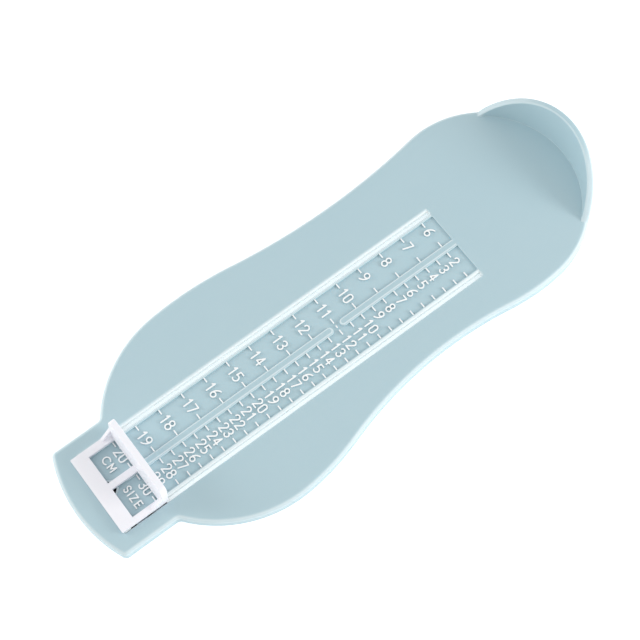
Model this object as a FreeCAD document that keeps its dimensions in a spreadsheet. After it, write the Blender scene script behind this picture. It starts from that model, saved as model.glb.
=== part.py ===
import FreeCAD, Part
import Sketcher

import math
import os

from FreeCAD import Vector

# Sliding foot gauge for small children: a sole-shaped plate with a heel cup, a recessed
# double scale (centimetres and shoe sizes) between two guide slots, and a toe stop that
# slides along the slots. The stop's legs pass down through the slots into a keeper plate.
#
# All sketches use the gauge's own datum: X = 0 where the heel touches the cup, which is the
# zero of the centimetre scale, Y = 0 on the centre line of the scale and Z = 0 on the table.
# origin_x and origin_y then move every piece so that the origin is under the middle of the
# whole part's bounding box.

DOC_NAME = "foot_gauge"
OUT_DIR = "parts"

# alias: (value in mm or degrees, what it is)
DIMENSIONS = {
    "origin_x": (-110.45, "shift from the heel datum to the middle of the part"),
    "origin_y": (1.04, "shift from the scale's centre line to the middle of the part"),
    # plate
    "plate_height": (5.0, "top of the plate above the table"),
    "wall": (2.0, "thickness of the skirt"),
    "deck": (2.0, "thickness of the plate's top"),
    "edge_radius": (1.9, "rounding of the plate's top edge"),
    "heel_x": (36.0, "centre of the heel arc"),
    "heel_y": (-5.85, "centre of the heel arc"),
    "heel_radius": (38.95, "heel arc"),
    "flank_x": (41.1, "centre of the flank arc on the size side"),
    "flank_radius": (83.2, "flank arc on the size side"),
    "size_waist_radius": (160.7, "hollow waist arc on the size side"),
    "size_ball_x": (161.4, "centre of the ball arc on the size side"),
    "size_ball_radius": (101.4, "ball arc on the size side"),
    "size_toe_x": (157.5, "centre of the toe arc on the size side"),
    "size_toe_y": (-6.8, "centre of the toe arc on the size side"),
    "size_toe_radius": (49.9, "toe arc on the size side"),
    "cm_waist_radius": (270.5, "hollow waist arc on the centimetre side"),
    "cm_ball_x": (148.6, "centre of the ball arc on the centimetre side"),
    "cm_ball_radius": (145.3, "ball arc on the centimetre side"),
    "cm_toe_x": (157.1, "centre of the toe arc on the centimetre side"),
    "cm_toe_y": (6.5, "centre of the toe arc on the centimetre side"),
    "cm_toe_radius": (51.6, "toe arc on the centimetre side"),
    "tongue_half": (23.5, "half width of the tongue"),
    "tongue_tip": (225.05, "tip of the tongue"),
    "tongue_end_radius": (56.0, "rounded end of the tongue"),
    "tongue_corner": (2.2, "corner radius of the tongue and its junction"),
    # heel cup
    "cup_height": (24.0, "top of the heel cup above the table, before its rim is rounded"),
    "cup_inner_radius": (36.25, "inside of the cup at the plate"),
    "cup_lean_in": (1.4, "how far the inside leans back at the top"),
    "cup_lean_out": (1.25, "how far the outside leans back at the top"),
    "cup_sweep": (57.0, "half of the cup's sweep, degrees"),
    "cup_end_x": (12.6, "where the sloping rim meets the plate's top"),
    "cup_rim_bulge": (0.4, "how far the sloping rim bows above its chord"),
    "cup_rim_radius": (0.3, "rounding of the rim"),
    # recessed scale
    "channel_start": (55.1, "heel end of the recess"),
    "channel_end": (215.0, "toe end of the recess"),
    "channel_half": (13.5, "half width of the recess"),
    "channel_depth": (0.8, "depth of the recess"),
    "rib_half": (1.56, "half width of the centre rib"),
    "rib_gap_start": (108.3, "heel side of the gap in the centre rib"),
    "rib_gap_end": (111.7, "toe side of the gap in the centre rib"),
    "rib_end": (205.0, "toe end of the centre rib"),
    "slot_start": (55.4, "heel end of the guide slots"),
    "slot_end": (215.0, "toe end of the guide slots"),
    "slot_inner": (14.85, "inner side of a guide slot"),
    "slot_outer": (16.35, "outer side of a guide slot"),
    "slot_chamfer": (0.65, "bevel along both upper edges of a guide slot"),
    "hole_x": (210.75, "centre of the hanging hole"),
    "hole_radius": (2.64, "hanging hole"),
    "hole_rim": (0.8, "width of the raised rim of the hanging hole"),
    "hole_rim_height": (0.3, "height of the raised rim of the hanging hole"),
    # ribs under the plate
    "guide_rib_start": (50.6, "heel end of the two long ribs under the plate"),
    "guide_rib_end": (220.0, "toe end of the long ribs"),
    "guide_rib_inner": (18.4, "inner side of a long rib"),
    "guide_rib_outer": (19.8, "outer side of a long rib"),
    "cross_rib": (1.2, "thickness of the cross ribs under the plate"),
    "rib_foot": (0.6, "height of the ribs' lower edge above the table"),
    # toe stop
    "stop_face": (195.3, "heel side of the wall's top, read on the scale"),
    "stop_lean": (0.9, "how far the wall leans towards the heel at its top"),
    "stop_end": (215.9, "toe side of the toe stop"),
    "stop_half": (16.45, "half width of the toe stop"),
    "stop_bottom": (5.2, "underside of the toe stop's frame"),
    "stop_thick": (1.5, "thickness of the toe stop's frame"),
    "stop_corner": (0.3, "corner radius of the frame"),
    "stop_wall_top": (17.9, "top of the upright wall"),
    "stop_wall_foot": (2.9, "thickness of the wall at its foot"),
    "stop_wall_head": (2.5, "thickness of the wall at its top"),
    "stop_wall_round": (2.2, "rounding of the wall's upper corners"),
    "stop_edge": (0.35, "small rounding along the wall's top"),
    "window_start": (199.1, "heel side of the windows"),
    "window_end": (209.9, "toe side of the windows"),
    "window_inner": (1.3, "inner side of the windows"),
    "window_outer": (14.05, "outer side of the window on the size lane"),
    "cm_window_outer": (13.45, "outer side of the window on the centimetre lane"),
    "gusset_thick": (1.2, "thickness of the gussets"),
    "gusset_top": (12.1, "height where a gusset meets the wall"),
    "gusset_end": (203.0, "toe end of the gussets"),
    "leg_start": (198.6, "heel side of the first leg"),
    "leg_end": (210.0, "toe side of the last leg"),
    "leg_length": (4.5, "length of one leg along the slot"),
    "leg_inner": (15.0, "inner side of a leg"),
    "leg_outer": (16.2, "outer side of a leg"),
    # keeper under the plate
    "keeper_start": (197.0, "heel side of the keeper"),
    "keeper_end": (212.4, "toe side of the keeper"),
    "keeper_half": (18.0, "half width of the keeper"),
    "keeper_bottom": (1.3, "underside of the keeper"),
    "keeper_thick": (1.5, "thickness of the keeper"),
    "keeper_fit": (0.05, "clearance round a leg in the keeper"),
    "keeper_corner": (1.5, "corner radius of the keeper"),
    # raised marks
    "mark_height": (0.7, "height of every raised mark above the recess"),
    "tick_width": (0.5, "width of a scale line"),
    "stroke": (0.5, "width of a numeral's or letter's stroke"),
    "tick_outer_length": (2.1, "length of the scale lines at the recess's sides"),
    "tick_rib_length": (2.3, "length of the scale lines at the centre rib"),
    "gap_tick_half": (0.55, "half length of the short line in the gap of the centre rib"),
    "cm_first": (60.0, "place of the 6 cm line"),
    "cm_step": (10.0, "one centimetre"),
    "size_first": (60.0, "place of the line for size 2"),
    "size_step": (5.0, "length of one shoe size"),
    "cm_numeral": (4.4, "height of the centimetre numerals"),
    "cm_numeral_start": (-10.35, "left side of the centimetre numerals"),
    "cm_numeral_gap": (0.45, "gap between two digits of a centimetre numeral"),
    "size_numeral": (4.1, "height of the size numerals"),
    "size_numeral_start": (5.0, "left side of the size numerals"),
    "size_numeral_gap": (0.5, "gap between two digits of a size numeral"),
    "label_x": (205.5, "middle of the two lanes' labels"),
    "label_height": (3.3, "height of the labels' letters"),
    "label_gap": (0.8, "gap between two letters of a label"),
    "cm_label_start": (-10.7, "left side of the label on the centimetre lane"),
    "size_label_start": (3.1, "left side of the label on the size lane"),
}

CM_NUMBERS = range(6, 21)
SIZE_NUMBERS = range(2, 31)
CM_LABEL = "CM"
SIZE_LABEL = "SIZE"
CROSS_RIB_PLACES = (64.0, 98.0, 132.0, 166.0, 192.0)
HEEL_RIB_PLACE = 24.0

doc = FreeCAD.newDocument(DOC_NAME)
sheet = doc.addObject("Spreadsheet::Sheet", "Dimensions")
for row, (alias, (number, meaning)) in enumerate(DIMENSIONS.items(), start=1):
    sheet.set("A%d" % row, meaning)
    sheet.set("B%d" % row, str(number))
    sheet.setAlias("B%d" % row, alias)
doc.recompute()


def dim(alias):
    """Return a driving dimension's value."""
    return DIMENSIONS[alias][0]


def cell(alias):
    """Return the expression that reads a driving dimension."""
    return "Dimensions." + alias


# ---------------------------------------------------------------- bodies and sketches


def move_to_origin(item):
    """Move a piece from the heel datum to the part's own origin."""
    item.setExpression("Placement.Base.x", cell("origin_x"))
    item.setExpression("Placement.Base.y", cell("origin_y"))


def new_body(name):
    """Add a body, still on the heel datum."""
    body = doc.addObject("PartDesign::Body", name)
    body.Label = name
    return body


def new_sketch(body, name, plane="XY_Plane", height="0 mm"):
    """Add a sketch on one of the body's own planes, raised along its normal."""
    sketch = body.newObject("Sketcher::SketchObject", name)
    support = [f for f in body.Origin.OriginFeatures if f.Role == plane][0]
    sketch.AttachmentSupport = [(support, "")]
    sketch.MapMode = "FlatFace"
    sketch.setExpression("AttachmentOffset.Base.z", height)
    return sketch


def add_constraint(sketch, number, expression, kind, *where):
    """Add a driving constraint and bind it to an expression."""
    index = sketch.addConstraint(Sketcher.Constraint(kind, *where, number))
    sketch.setExpression("Constraints[%d]" % index, expression)


def add_rectangle(sketch, x_low, x_high, y_low, y_high):
    """Draw a rectangle; each side is a pair of number and expression."""
    corners = [
        Vector(x_low[0], y_low[0], 0),
        Vector(x_high[0], y_low[0], 0),
        Vector(x_high[0], y_high[0], 0),
        Vector(x_low[0], y_high[0], 0),
    ]
    first = sketch.GeometryCount
    for i in range(4):
        sketch.addGeometry(Part.LineSegment(corners[i], corners[(i + 1) % 4]), False)
    for i in range(4):
        sketch.addConstraint(Sketcher.Constraint("Coincident", first + i, 2, first + (i + 1) % 4, 1))
    for i, kind in enumerate(("Horizontal", "Vertical", "Horizontal", "Vertical")):
        sketch.addConstraint(Sketcher.Constraint(kind, first + i))
    add_constraint(sketch, x_low[0], x_low[1], "DistanceX", -1, 1, first, 1)
    add_constraint(sketch, x_high[0], x_high[1], "DistanceX", -1, 1, first + 1, 1)
    add_constraint(sketch, y_low[0], y_low[1], "DistanceY", -1, 1, first, 1)
    add_constraint(sketch, y_high[0], y_high[1], "DistanceY", -1, 1, first + 2, 1)


def side(alias, sign=1):
    """Return a rectangle side: the number and the expression of one dimension."""
    return sign * dim(alias), ("-" if sign < 0 else "") + cell(alias)


def feature(body, kind, name, profile):
    """Add a sketch-based feature and make it the body's tip."""
    made = body.newObject("PartDesign::" + kind, name)
    made.Profile = profile
    body.Tip = made
    return made


def pad(body, name, profile, length):
    """Pad a profile by an expression."""
    made = feature(body, "Pad", name, profile)
    made.setExpression("Length", length)
    doc.recompute()
    return made


def pocket(body, name, profile, length=None, upwards=False):
    """Cut a profile by an expression, or right through, and check that it cuts."""
    before = body.Shape.Volume
    made = feature(body, "Pocket", name, profile)
    made.Reversed = upwards
    if length is None:
        made.Type = "ThroughAll"
        made.Midplane = True
    else:
        made.setExpression("Length", length)
    doc.recompute()
    if not body.Shape.Volume < before - 1e-3:
        raise RuntimeError(name + " doesn't cut")
    return made


def dress(body, kind, name, references, size_property, size):
    """Add a fillet or chamfer on the edges or faces named in references."""
    base = body.Tip
    made = body.newObject("PartDesign::" + kind, name)
    made.Base = (base, references)
    made.setExpression(size_property, size)
    body.Tip = made
    doc.recompute()
    return made


def faces_where(shape, test):
    """Return the names of the faces that pass a test."""
    return ["Face%d" % (i + 1) for i, face in enumerate(shape.Faces) if test(face)]


def edges_where(shape, test):
    """Return the names of the edges that pass a test."""
    return ["Edge%d" % (i + 1) for i, edge in enumerate(shape.Edges) if test(edge)]


def is_level(item, height, slack=1e-4):
    """Tell whether a face or an edge lies flat at one height."""
    box = item.BoundBox
    return abs(box.ZMin - height) < slack and abs(box.ZMax - height) < slack


# ---------------------------------------------------------------- the sole's outline


class Arc:
    """One arc of the outline, by centre, radius and the two ends still to be found."""

    def __init__(self, x, y, radius, radius_expression, bulge=1):
        self.centre = Vector(x, y, 0)
        self.radius = radius
        self.radius_expression = radius_expression
        self.bulge = bulge


def tangent_point(a, b):
    """Return the point where two tangent arcs meet."""
    along = b.centre - a.centre
    along.normalize()
    if a.bulge == b.bulge and b.radius > a.radius:
        return a.centre - along * a.radius
    return a.centre + along * a.radius


def centre_inside(outer_centre_x, arc, radius, above):
    """Return the y of a centre at outer_centre_x whose arc of this radius touches arc from outside."""
    reach = radius - arc.radius
    return arc.centre.y + above * math.sqrt(reach ** 2 - (outer_centre_x - arc.centre.x) ** 2)


def waist_centre(a, b, radius, out):
    """Return the centre of the hollow arc of this radius that touches two arcs from outside."""
    along = b.centre - a.centre
    gap = along.Length
    along.normalize()
    across = Vector(-along.y, along.x, 0)
    if across.y * out < 0:
        across = -across
    reach_a = a.radius + radius
    reach_b = b.radius + radius
    step = (reach_a ** 2 - reach_b ** 2 + gap ** 2) / (2 * gap)
    return a.centre + along * step + across * math.sqrt(reach_a ** 2 - step ** 2)


def outline_arcs(inset, inset_expression):
    """Return the eight arcs of the sole from the size side's toe round the heel to the cm side's toe."""

    def convex(x, y, alias):
        return Arc(x, y, dim(alias) - inset, cell(alias) + inset_expression)

    def hollow(a, b, alias, out):
        centre = waist_centre(a, b, dim(alias) + inset, out)
        expression = cell(alias) + inset_expression.replace("-", "+")
        return Arc(centre.x, centre.y, dim(alias) + inset, expression, bulge=-1)

    heel = convex(dim("heel_x"), dim("heel_y"), "heel_radius")
    size_toe = convex(dim("size_toe_x"), dim("size_toe_y"), "size_toe_radius")
    cm_toe = convex(dim("cm_toe_x"), dim("cm_toe_y"), "cm_toe_radius")
    flank_reach = dim("flank_radius") - inset
    flank = convex(dim("flank_x"), centre_inside(dim("flank_x"), heel, flank_reach, -1), "flank_radius")
    size_reach = dim("size_ball_radius") - inset
    size_ball_y = centre_inside(dim("size_ball_x"), size_toe, size_reach, -1)
    size_ball = convex(dim("size_ball_x"), size_ball_y, "size_ball_radius")
    cm_reach = dim("cm_ball_radius") - inset
    cm_ball_y = centre_inside(dim("cm_ball_x"), cm_toe, cm_reach, 1)
    cm_ball = convex(dim("cm_ball_x"), cm_ball_y, "cm_ball_radius")
    size_waist = hollow(flank, size_ball, "size_waist_radius", 1)
    cm_waist = hollow(heel, cm_ball, "cm_waist_radius", -1)
    return [size_toe, size_ball, size_waist, flank, heel, cm_waist, cm_ball, cm_toe]


def arc_height_at(arc, x, sign):
    """Return the y of an arc at x on the side given by sign."""
    return arc.centre.y + sign * math.sqrt(arc.radius ** 2 - (x - arc.centre.x) ** 2)


def draw_outline(sketch, inset=0.0, inset_expression=""):
    """Draw the sole with its tongue, inset by the skirt's thickness where asked."""
    arcs = outline_arcs(inset, inset_expression)
    half = dim("tongue_half") - inset
    joins = [tangent_point(a, b) for a, b in zip(arcs, arcs[1:])]

    def junction(arc, y):
        return Vector(arc.centre.x + math.sqrt(arc.radius ** 2 - (y - arc.centre.y) ** 2), y, 0)

    ends = [junction(arcs[0], half)] + joins + [junction(arcs[-1], -half)]
    for i, arc in enumerate(arcs):
        start, stop = ends[i], ends[i + 1]
        if arc.bulge < 0:
            start, stop = stop, start
        angles = [math.atan2(p.y - arc.centre.y, p.x - arc.centre.x) for p in (start, stop)]
        circle = Part.Circle(arc.centre, Vector(0, 0, 1), arc.radius)
        sketch.addGeometry(Part.ArcOfCircle(circle, angles[0], angles[1]), False)

    end_radius = dim("tongue_end_radius") - inset
    end_x = dim("tongue_tip") - dim("tongue_end_radius")
    corner_x = end_x + math.sqrt(end_radius ** 2 - half ** 2)
    swing = math.asin(half / end_radius)
    cm_line = sketch.addGeometry(Part.LineSegment(ends[-1], Vector(corner_x, -half, 0)), False)
    end_circle = Part.Circle(Vector(end_x, 0, 0), Vector(0, 0, 1), end_radius)
    end_arc = sketch.addGeometry(Part.ArcOfCircle(end_circle, -swing, swing), False)
    size_line = sketch.addGeometry(Part.LineSegment(Vector(corner_x, half, 0), ends[0]), False)

    for i in range(len(arcs) - 1):
        leave = 2 if arcs[i].bulge > 0 else 1
        enter = 1 if arcs[i + 1].bulge > 0 else 2
        sketch.addConstraint(Sketcher.Constraint("Tangent", i, leave, i + 1, enter))
    last = len(arcs) - 1
    for a, a_end, b, b_end in (
        (last, 2, cm_line, 1),
        (cm_line, 2, end_arc, 1),
        (end_arc, 2, size_line, 1),
        (size_line, 2, 0, 1),
    ):
        sketch.addConstraint(Sketcher.Constraint("Coincident", a, a_end, b, b_end))
    sketch.addConstraint(Sketcher.Constraint("Horizontal", cm_line))
    sketch.addConstraint(Sketcher.Constraint("Horizontal", size_line))
    half_expression = cell("tongue_half") + inset_expression
    add_constraint(sketch, half, half_expression, "DistanceY", -1, 1, size_line, 1)
    add_constraint(sketch, -half, "-(%s)" % half_expression, "DistanceY", -1, 1, cm_line, 1)
    for i, arc in enumerate(arcs):
        add_constraint(sketch, arc.radius, arc.radius_expression, "Radius", i)
    end_expression = cell("tongue_end_radius") + inset_expression
    add_constraint(sketch, end_radius, end_expression, "Radius", end_arc)
    place = "%s - %s" % (cell("tongue_tip"), cell("tongue_end_radius"))
    add_constraint(sketch, end_x, place, "DistanceX", -1, 1, end_arc, 3)
    sketch.addConstraint(Sketcher.Constraint("PointOnObject", end_arc, 3, -1))
    for i, x_alias, y_alias in (
        (0, "size_toe_x", "size_toe_y"),
        (1, "size_ball_x", None),
        (3, "flank_x", None),
        (4, "heel_x", "heel_y"),
        (6, "cm_ball_x", None),
        (7, "cm_toe_x", "cm_toe_y"),
    ):
        add_constraint(sketch, dim(x_alias), cell(x_alias), "DistanceX", -1, 1, i, 3)
        if y_alias:
            add_constraint(sketch, dim(y_alias), cell(y_alias), "DistanceY", -1, 1, i, 3)


# ---------------------------------------------------------------- foot plate with heel cup


def make_cup_blank():
    """Build the heel cup: a leaning wall swept round the heel, cut off along its sloping rim."""
    body = new_body("heel_cup_blank")
    height = "-" + cell("heel_y")
    profile = new_sketch(body, "cup_profile", "XZ_Plane", height)
    seat = dim("plate_height") - dim("edge_radius")
    outer = dim("heel_x") - dim("heel_radius")
    inner = dim("heel_x") - dim("cup_inner_radius")
    points = [
        (outer, seat),
        (outer - dim("cup_lean_out"), dim("cup_height")),
        (inner - dim("cup_lean_in"), dim("cup_height")),
        (inner, dim("plate_height")),
        (inner, seat),
    ]
    outer_x = "%s - %s" % (cell("heel_x"), cell("heel_radius"))
    inner_x = "%s - %s" % (cell("heel_x"), cell("cup_inner_radius"))
    seat_z = "%s - %s" % (cell("plate_height"), cell("edge_radius"))
    expressions = [
        (outer_x, seat_z),
        (outer_x + " - " + cell("cup_lean_out"), cell("cup_height")),
        (inner_x + " - " + cell("cup_lean_in"), cell("cup_height")),
        (inner_x, cell("plate_height")),
        (inner_x, seat_z),
    ]
    draw_polygon(profile, points, expressions)
    axis = profile.addGeometry(
        Part.LineSegment(Vector(dim("heel_x"), 0, 0), Vector(dim("heel_x"), 20, 0)), True
    )
    profile.addConstraint(Sketcher.Constraint("Vertical", axis))
    add_constraint(profile, dim("heel_x"), cell("heel_x"), "DistanceX", -1, 1, axis, 1)
    sweep = body.newObject("PartDesign::Revolution", "cup_sweep")
    sweep.Profile = profile
    sweep.ReferenceAxis = (profile, ["Axis0"])
    sweep.Midplane = True
    sweep.setExpression("Angle", "2 * %s" % cell("cup_sweep"))
    body.Tip = sweep
    doc.recompute()

    rim = new_sketch(body, "rim_slope", "XZ_Plane", height)
    start = Vector(outer - dim("cup_lean_out"), dim("cup_height"), 0)
    stop = Vector(dim("cup_end_x"), dim("plate_height"), 0)
    chord = stop - start
    across = Vector(-chord.y, chord.x, 0)
    across.normalize()
    middle = start + chord * 0.5 + across * dim("cup_rim_bulge")
    tail = stop + chord * ((stop.y - seat + 0.2) / -chord.y)
    sky = dim("cup_height") + 10.0
    beyond = dim("heel_x")
    rim.addGeometry(Part.Arc(start, middle, stop), False)
    corners = [
        stop,
        tail,
        Vector(beyond, tail.y, 0),
        Vector(beyond, sky, 0),
        Vector(start.x - 5, sky, 0),
        Vector(start.x - 5, start.y, 0),
        start,
    ]
    for a, b in zip(corners, corners[1:]):
        rim.addGeometry(Part.LineSegment(a, b), False)
    pocket(body, "rim_cut", rim)
    lips = edges_where(body.Shape, lambda edge: edge.BoundBox.ZMax > dim("plate_height") + 5.0)
    dress(body, "Fillet", "rim_lips", lips, "Radius", cell("cup_rim_radius"))
    return body


def draw_polygon(sketch, points, expressions):
    """Draw a closed polygon whose corners are bound to pairs of expressions."""
    first = sketch.GeometryCount
    count = len(points)
    for i in range(count):
        a, b = points[i], points[(i + 1) % count]
        sketch.addGeometry(Part.LineSegment(Vector(a[0], a[1], 0), Vector(b[0], b[1], 0)), False)
    for i in range(count):
        sketch.addConstraint(Sketcher.Constraint("Coincident", first + i, 2, first + (i + 1) % count, 1))
    for i in range(count):
        add_constraint(sketch, points[i][0], expressions[i][0], "DistanceX", -1, 1, first + i, 1)
        add_constraint(sketch, points[i][1], expressions[i][1], "DistanceY", -1, 1, first + i, 1)


def floor_height():
    """Return the expression for the recess's floor, which the centre rib and all marks stand on."""
    return "%s - %s" % (cell("plate_height"), cell("channel_depth"))


def outline_reach(x, sign):
    """Return how far the sole reaches from the scale's centre line at x, on the side given by sign."""
    arcs = outline_arcs(0.0, "")
    sides = arcs[:5] if sign > 0 else arcs[4:]
    for a, b in zip(sides, sides[1:]):
        join_x = tangent_point(a, b).x
        inside = x >= join_x if sign > 0 else x <= join_x
        if inside:
            return arc_height_at(a, x, sign * a.bulge)
    return arc_height_at(sides[-1], x, sign * sides[-1].bulge)


def make_foot_plate():
    """Build the plate: sole, heel cup, hollow underside with ribs, recess, slots and hanging hole."""
    cup = make_cup_blank()
    body = new_body("foot_plate")
    move_to_origin(body)
    outline = new_sketch(body, "sole_outline")
    draw_outline(outline)
    pad(body, "sole", outline, cell("plate_height"))
    corners = edges_where(body.Shape, is_tongue_corner)
    dress(body, "Fillet", "tongue_corners", corners, "Radius", cell("tongue_corner"))
    top = faces_where(body.Shape, lambda face: is_level(face, dim("plate_height")))
    dress(body, "Fillet", "top_edge", top, "Radius", cell("edge_radius"))

    join = body.newObject("PartDesign::Boolean", "join_heel_cup")
    join.setObjects([cup])
    join.Type = "Fuse"
    body.Tip = join
    doc.recompute()

    cavity = new_sketch(body, "cavity_outline")
    draw_outline(cavity, dim("wall"), " - " + cell("wall"))
    depth = "%s - %s" % (cell("plate_height"), cell("deck"))
    pocket(body, "hollow_underside", cavity, depth, upwards=True)

    long_ribs = new_sketch(body, "long_ribs", height=cell("rib_foot"))
    ends = (side("guide_rib_start"), side("guide_rib_end"))
    add_rectangle(long_ribs, *ends, side("guide_rib_inner"), side("guide_rib_outer"))
    add_rectangle(long_ribs, *ends, side("guide_rib_outer", -1), side("guide_rib_inner", -1))
    rib_height = "%s - %s - %s" % (cell("plate_height"), cell("deck"), cell("rib_foot"))
    pad(body, "long_rib_pair", long_ribs, rib_height)

    cross_ribs = new_sketch(body, "cross_ribs", height=cell("rib_foot"))
    half = 0.5 * dim("cross_rib")
    for place in CROSS_RIB_PLACES:
        for sign in (1, -1):
            inner = sign * (dim("guide_rib_outer") - half)
            outer = outline_reach(place, sign) - 0.5 * sign * dim("wall")
            add_fixed_rectangle(cross_ribs, place - half, place + half, inner, outer)
    heel_reach = [outline_reach(HEEL_RIB_PLACE, sign) - 0.5 * sign * dim("wall") for sign in (-1, 1)]
    add_fixed_rectangle(cross_ribs, HEEL_RIB_PLACE - half, HEEL_RIB_PLACE + half, *heel_reach)
    bridge = dim("guide_rib_inner") + half
    bridge_start = dim("guide_rib_start")
    add_fixed_rectangle(cross_ribs, bridge_start, bridge_start + 2 * half, -bridge, bridge)
    pad(body, "cross_rib_set", cross_ribs, rib_height)

    top_plane = cell("plate_height")
    recess = new_sketch(body, "recess", height=top_plane)
    add_rectangle(
        recess, side("channel_start"), side("channel_end"), side("channel_half", -1), side("channel_half")
    )
    pocket(body, "scale_recess", recess, cell("channel_depth"))

    rib = new_sketch(body, "centre_rib", height=floor_height())
    draw_rib(rib, "channel_start", "rib_gap_start", round_start=False)
    draw_rib(rib, "rib_gap_end", "rib_end", round_start=True)
    pad(body, "centre_rib_pair", rib, cell("channel_depth"))

    slots = new_sketch(body, "guide_slots", height=top_plane)
    add_rectangle(slots, side("slot_start"), side("slot_end"), side("slot_inner"), side("slot_outer"))
    add_rectangle(slots, side("slot_start"), side("slot_end"), side("slot_outer", -1), side("slot_inner", -1))
    pocket(body, "guide_slot_pair", slots)
    lips = edges_where(body.Shape, is_slot_lip)
    dress(body, "Chamfer", "slot_lips", lips, "Size", cell("slot_chamfer"))

    hole_rim = new_sketch(body, "hole_rim", height=floor_height())
    rim_radius = "%s + %s" % (cell("hole_radius"), cell("hole_rim"))
    draw_circle(hole_rim, "hole_x", dim("hole_radius") + dim("hole_rim"), rim_radius)
    pad(body, "hanging_hole_rim", hole_rim, cell("hole_rim_height"))
    hole = new_sketch(body, "hole", height=top_plane)
    draw_circle(hole, "hole_x", dim("hole_radius"), cell("hole_radius"))
    pocket(body, "hanging_hole", hole)
    return body


def is_tongue_corner(edge):
    """Tell whether an edge is one of the four upright corners of the tongue."""
    box = edge.BoundBox
    upright = box.ZLength > dim("plate_height") - 0.1 and box.XLength + box.YLength < 1e-3
    beside = abs(abs(box.YMin - dim("origin_y")) - dim("tongue_half")) < 0.05
    return upright and beside


def is_slot_lip(edge):
    """Tell whether an edge is a long upper edge of a guide slot."""
    box = edge.BoundBox
    reach = abs(box.YMin - dim("origin_y"))
    beside = min(abs(reach - dim("slot_inner")), abs(reach - dim("slot_outer"))) < 1e-3
    return is_level(edge, dim("plate_height")) and beside and box.YLength < 1e-3 and box.XLength > 50


def add_fixed_rectangle(sketch, x_low, x_high, y_low, y_high):
    """Draw a rectangle whose place follows from the outline, and lock it."""
    first = sketch.GeometryCount
    corners = [(x_low, y_low), (x_high, y_low), (x_high, y_high), (x_low, y_high)]
    for a, b in zip(corners, corners[1:] + corners[:1]):
        sketch.addGeometry(Part.LineSegment(Vector(*a, 0), Vector(*b, 0)), False)
    for i in range(4):
        sketch.addConstraint(Sketcher.Constraint("Block", first + i))


def draw_circle(sketch, x_alias, radius, expression):
    """Draw a circle on the centre line."""
    centre = Vector(dim(x_alias), 0, 0)
    index = sketch.addGeometry(Part.Circle(centre, Vector(0, 0, 1), radius), False)
    add_constraint(sketch, radius, expression, "Radius", index)
    add_constraint(sketch, dim(x_alias), cell(x_alias), "DistanceX", -1, 1, index, 3)
    sketch.addConstraint(Sketcher.Constraint("PointOnObject", index, 3, -1))


def draw_rib(sketch, start_alias, stop_alias, round_start):
    """Draw one stretch of the centre rib, with a round toe end and a round or square heel end."""
    half = dim("rib_half")
    start = dim(start_alias) + (half if round_start else 0.0)
    stop = dim(stop_alias) - half
    top = sketch.addGeometry(Part.LineSegment(Vector(stop, half, 0), Vector(start, half, 0)), False)
    low = sketch.addGeometry(Part.LineSegment(Vector(start, -half, 0), Vector(stop, -half, 0)), False)
    axis = Vector(0, 0, 1)
    quarter = 0.5 * math.pi
    toe_circle = Part.Circle(Vector(stop, 0, 0), axis, half)
    toe = sketch.addGeometry(Part.ArcOfCircle(toe_circle, -quarter, quarter), False)
    sketch.addConstraint(Sketcher.Constraint("Tangent", low, 2, toe, 1))
    sketch.addConstraint(Sketcher.Constraint("Tangent", toe, 2, top, 1))
    if round_start:
        heel_circle = Part.Circle(Vector(start, 0, 0), axis, half)
        heel = sketch.addGeometry(Part.ArcOfCircle(heel_circle, quarter, 3 * quarter), False)
        sketch.addConstraint(Sketcher.Constraint("Tangent", top, 2, heel, 1))
        sketch.addConstraint(Sketcher.Constraint("Tangent", heel, 2, low, 1))
        place = "%s + %s" % (cell(start_alias), cell("rib_half"))
        add_constraint(sketch, start, place, "DistanceX", -1, 1, heel, 3)
    else:
        end = Part.LineSegment(Vector(start, half, 0), Vector(start, -half, 0))
        heel = sketch.addGeometry(end, False)
        sketch.addConstraint(Sketcher.Constraint("Coincident", top, 2, heel, 1))
        sketch.addConstraint(Sketcher.Constraint("Coincident", heel, 2, low, 1))
        sketch.addConstraint(Sketcher.Constraint("Vertical", heel))
        add_constraint(sketch, start, cell(start_alias), "DistanceX", -1, 1, heel, 1)
    sketch.addConstraint(Sketcher.Constraint("Horizontal", top))
    sketch.addConstraint(Sketcher.Constraint("PointOnObject", toe, 3, -1))
    add_constraint(sketch, half, cell("rib_half"), "Radius", toe)
    place = "%s - %s" % (cell(stop_alias), cell("rib_half"))
    add_constraint(sketch, stop, place, "DistanceX", -1, 1, toe, 3)


# ---------------------------------------------------------------- toe stop and keeper


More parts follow.
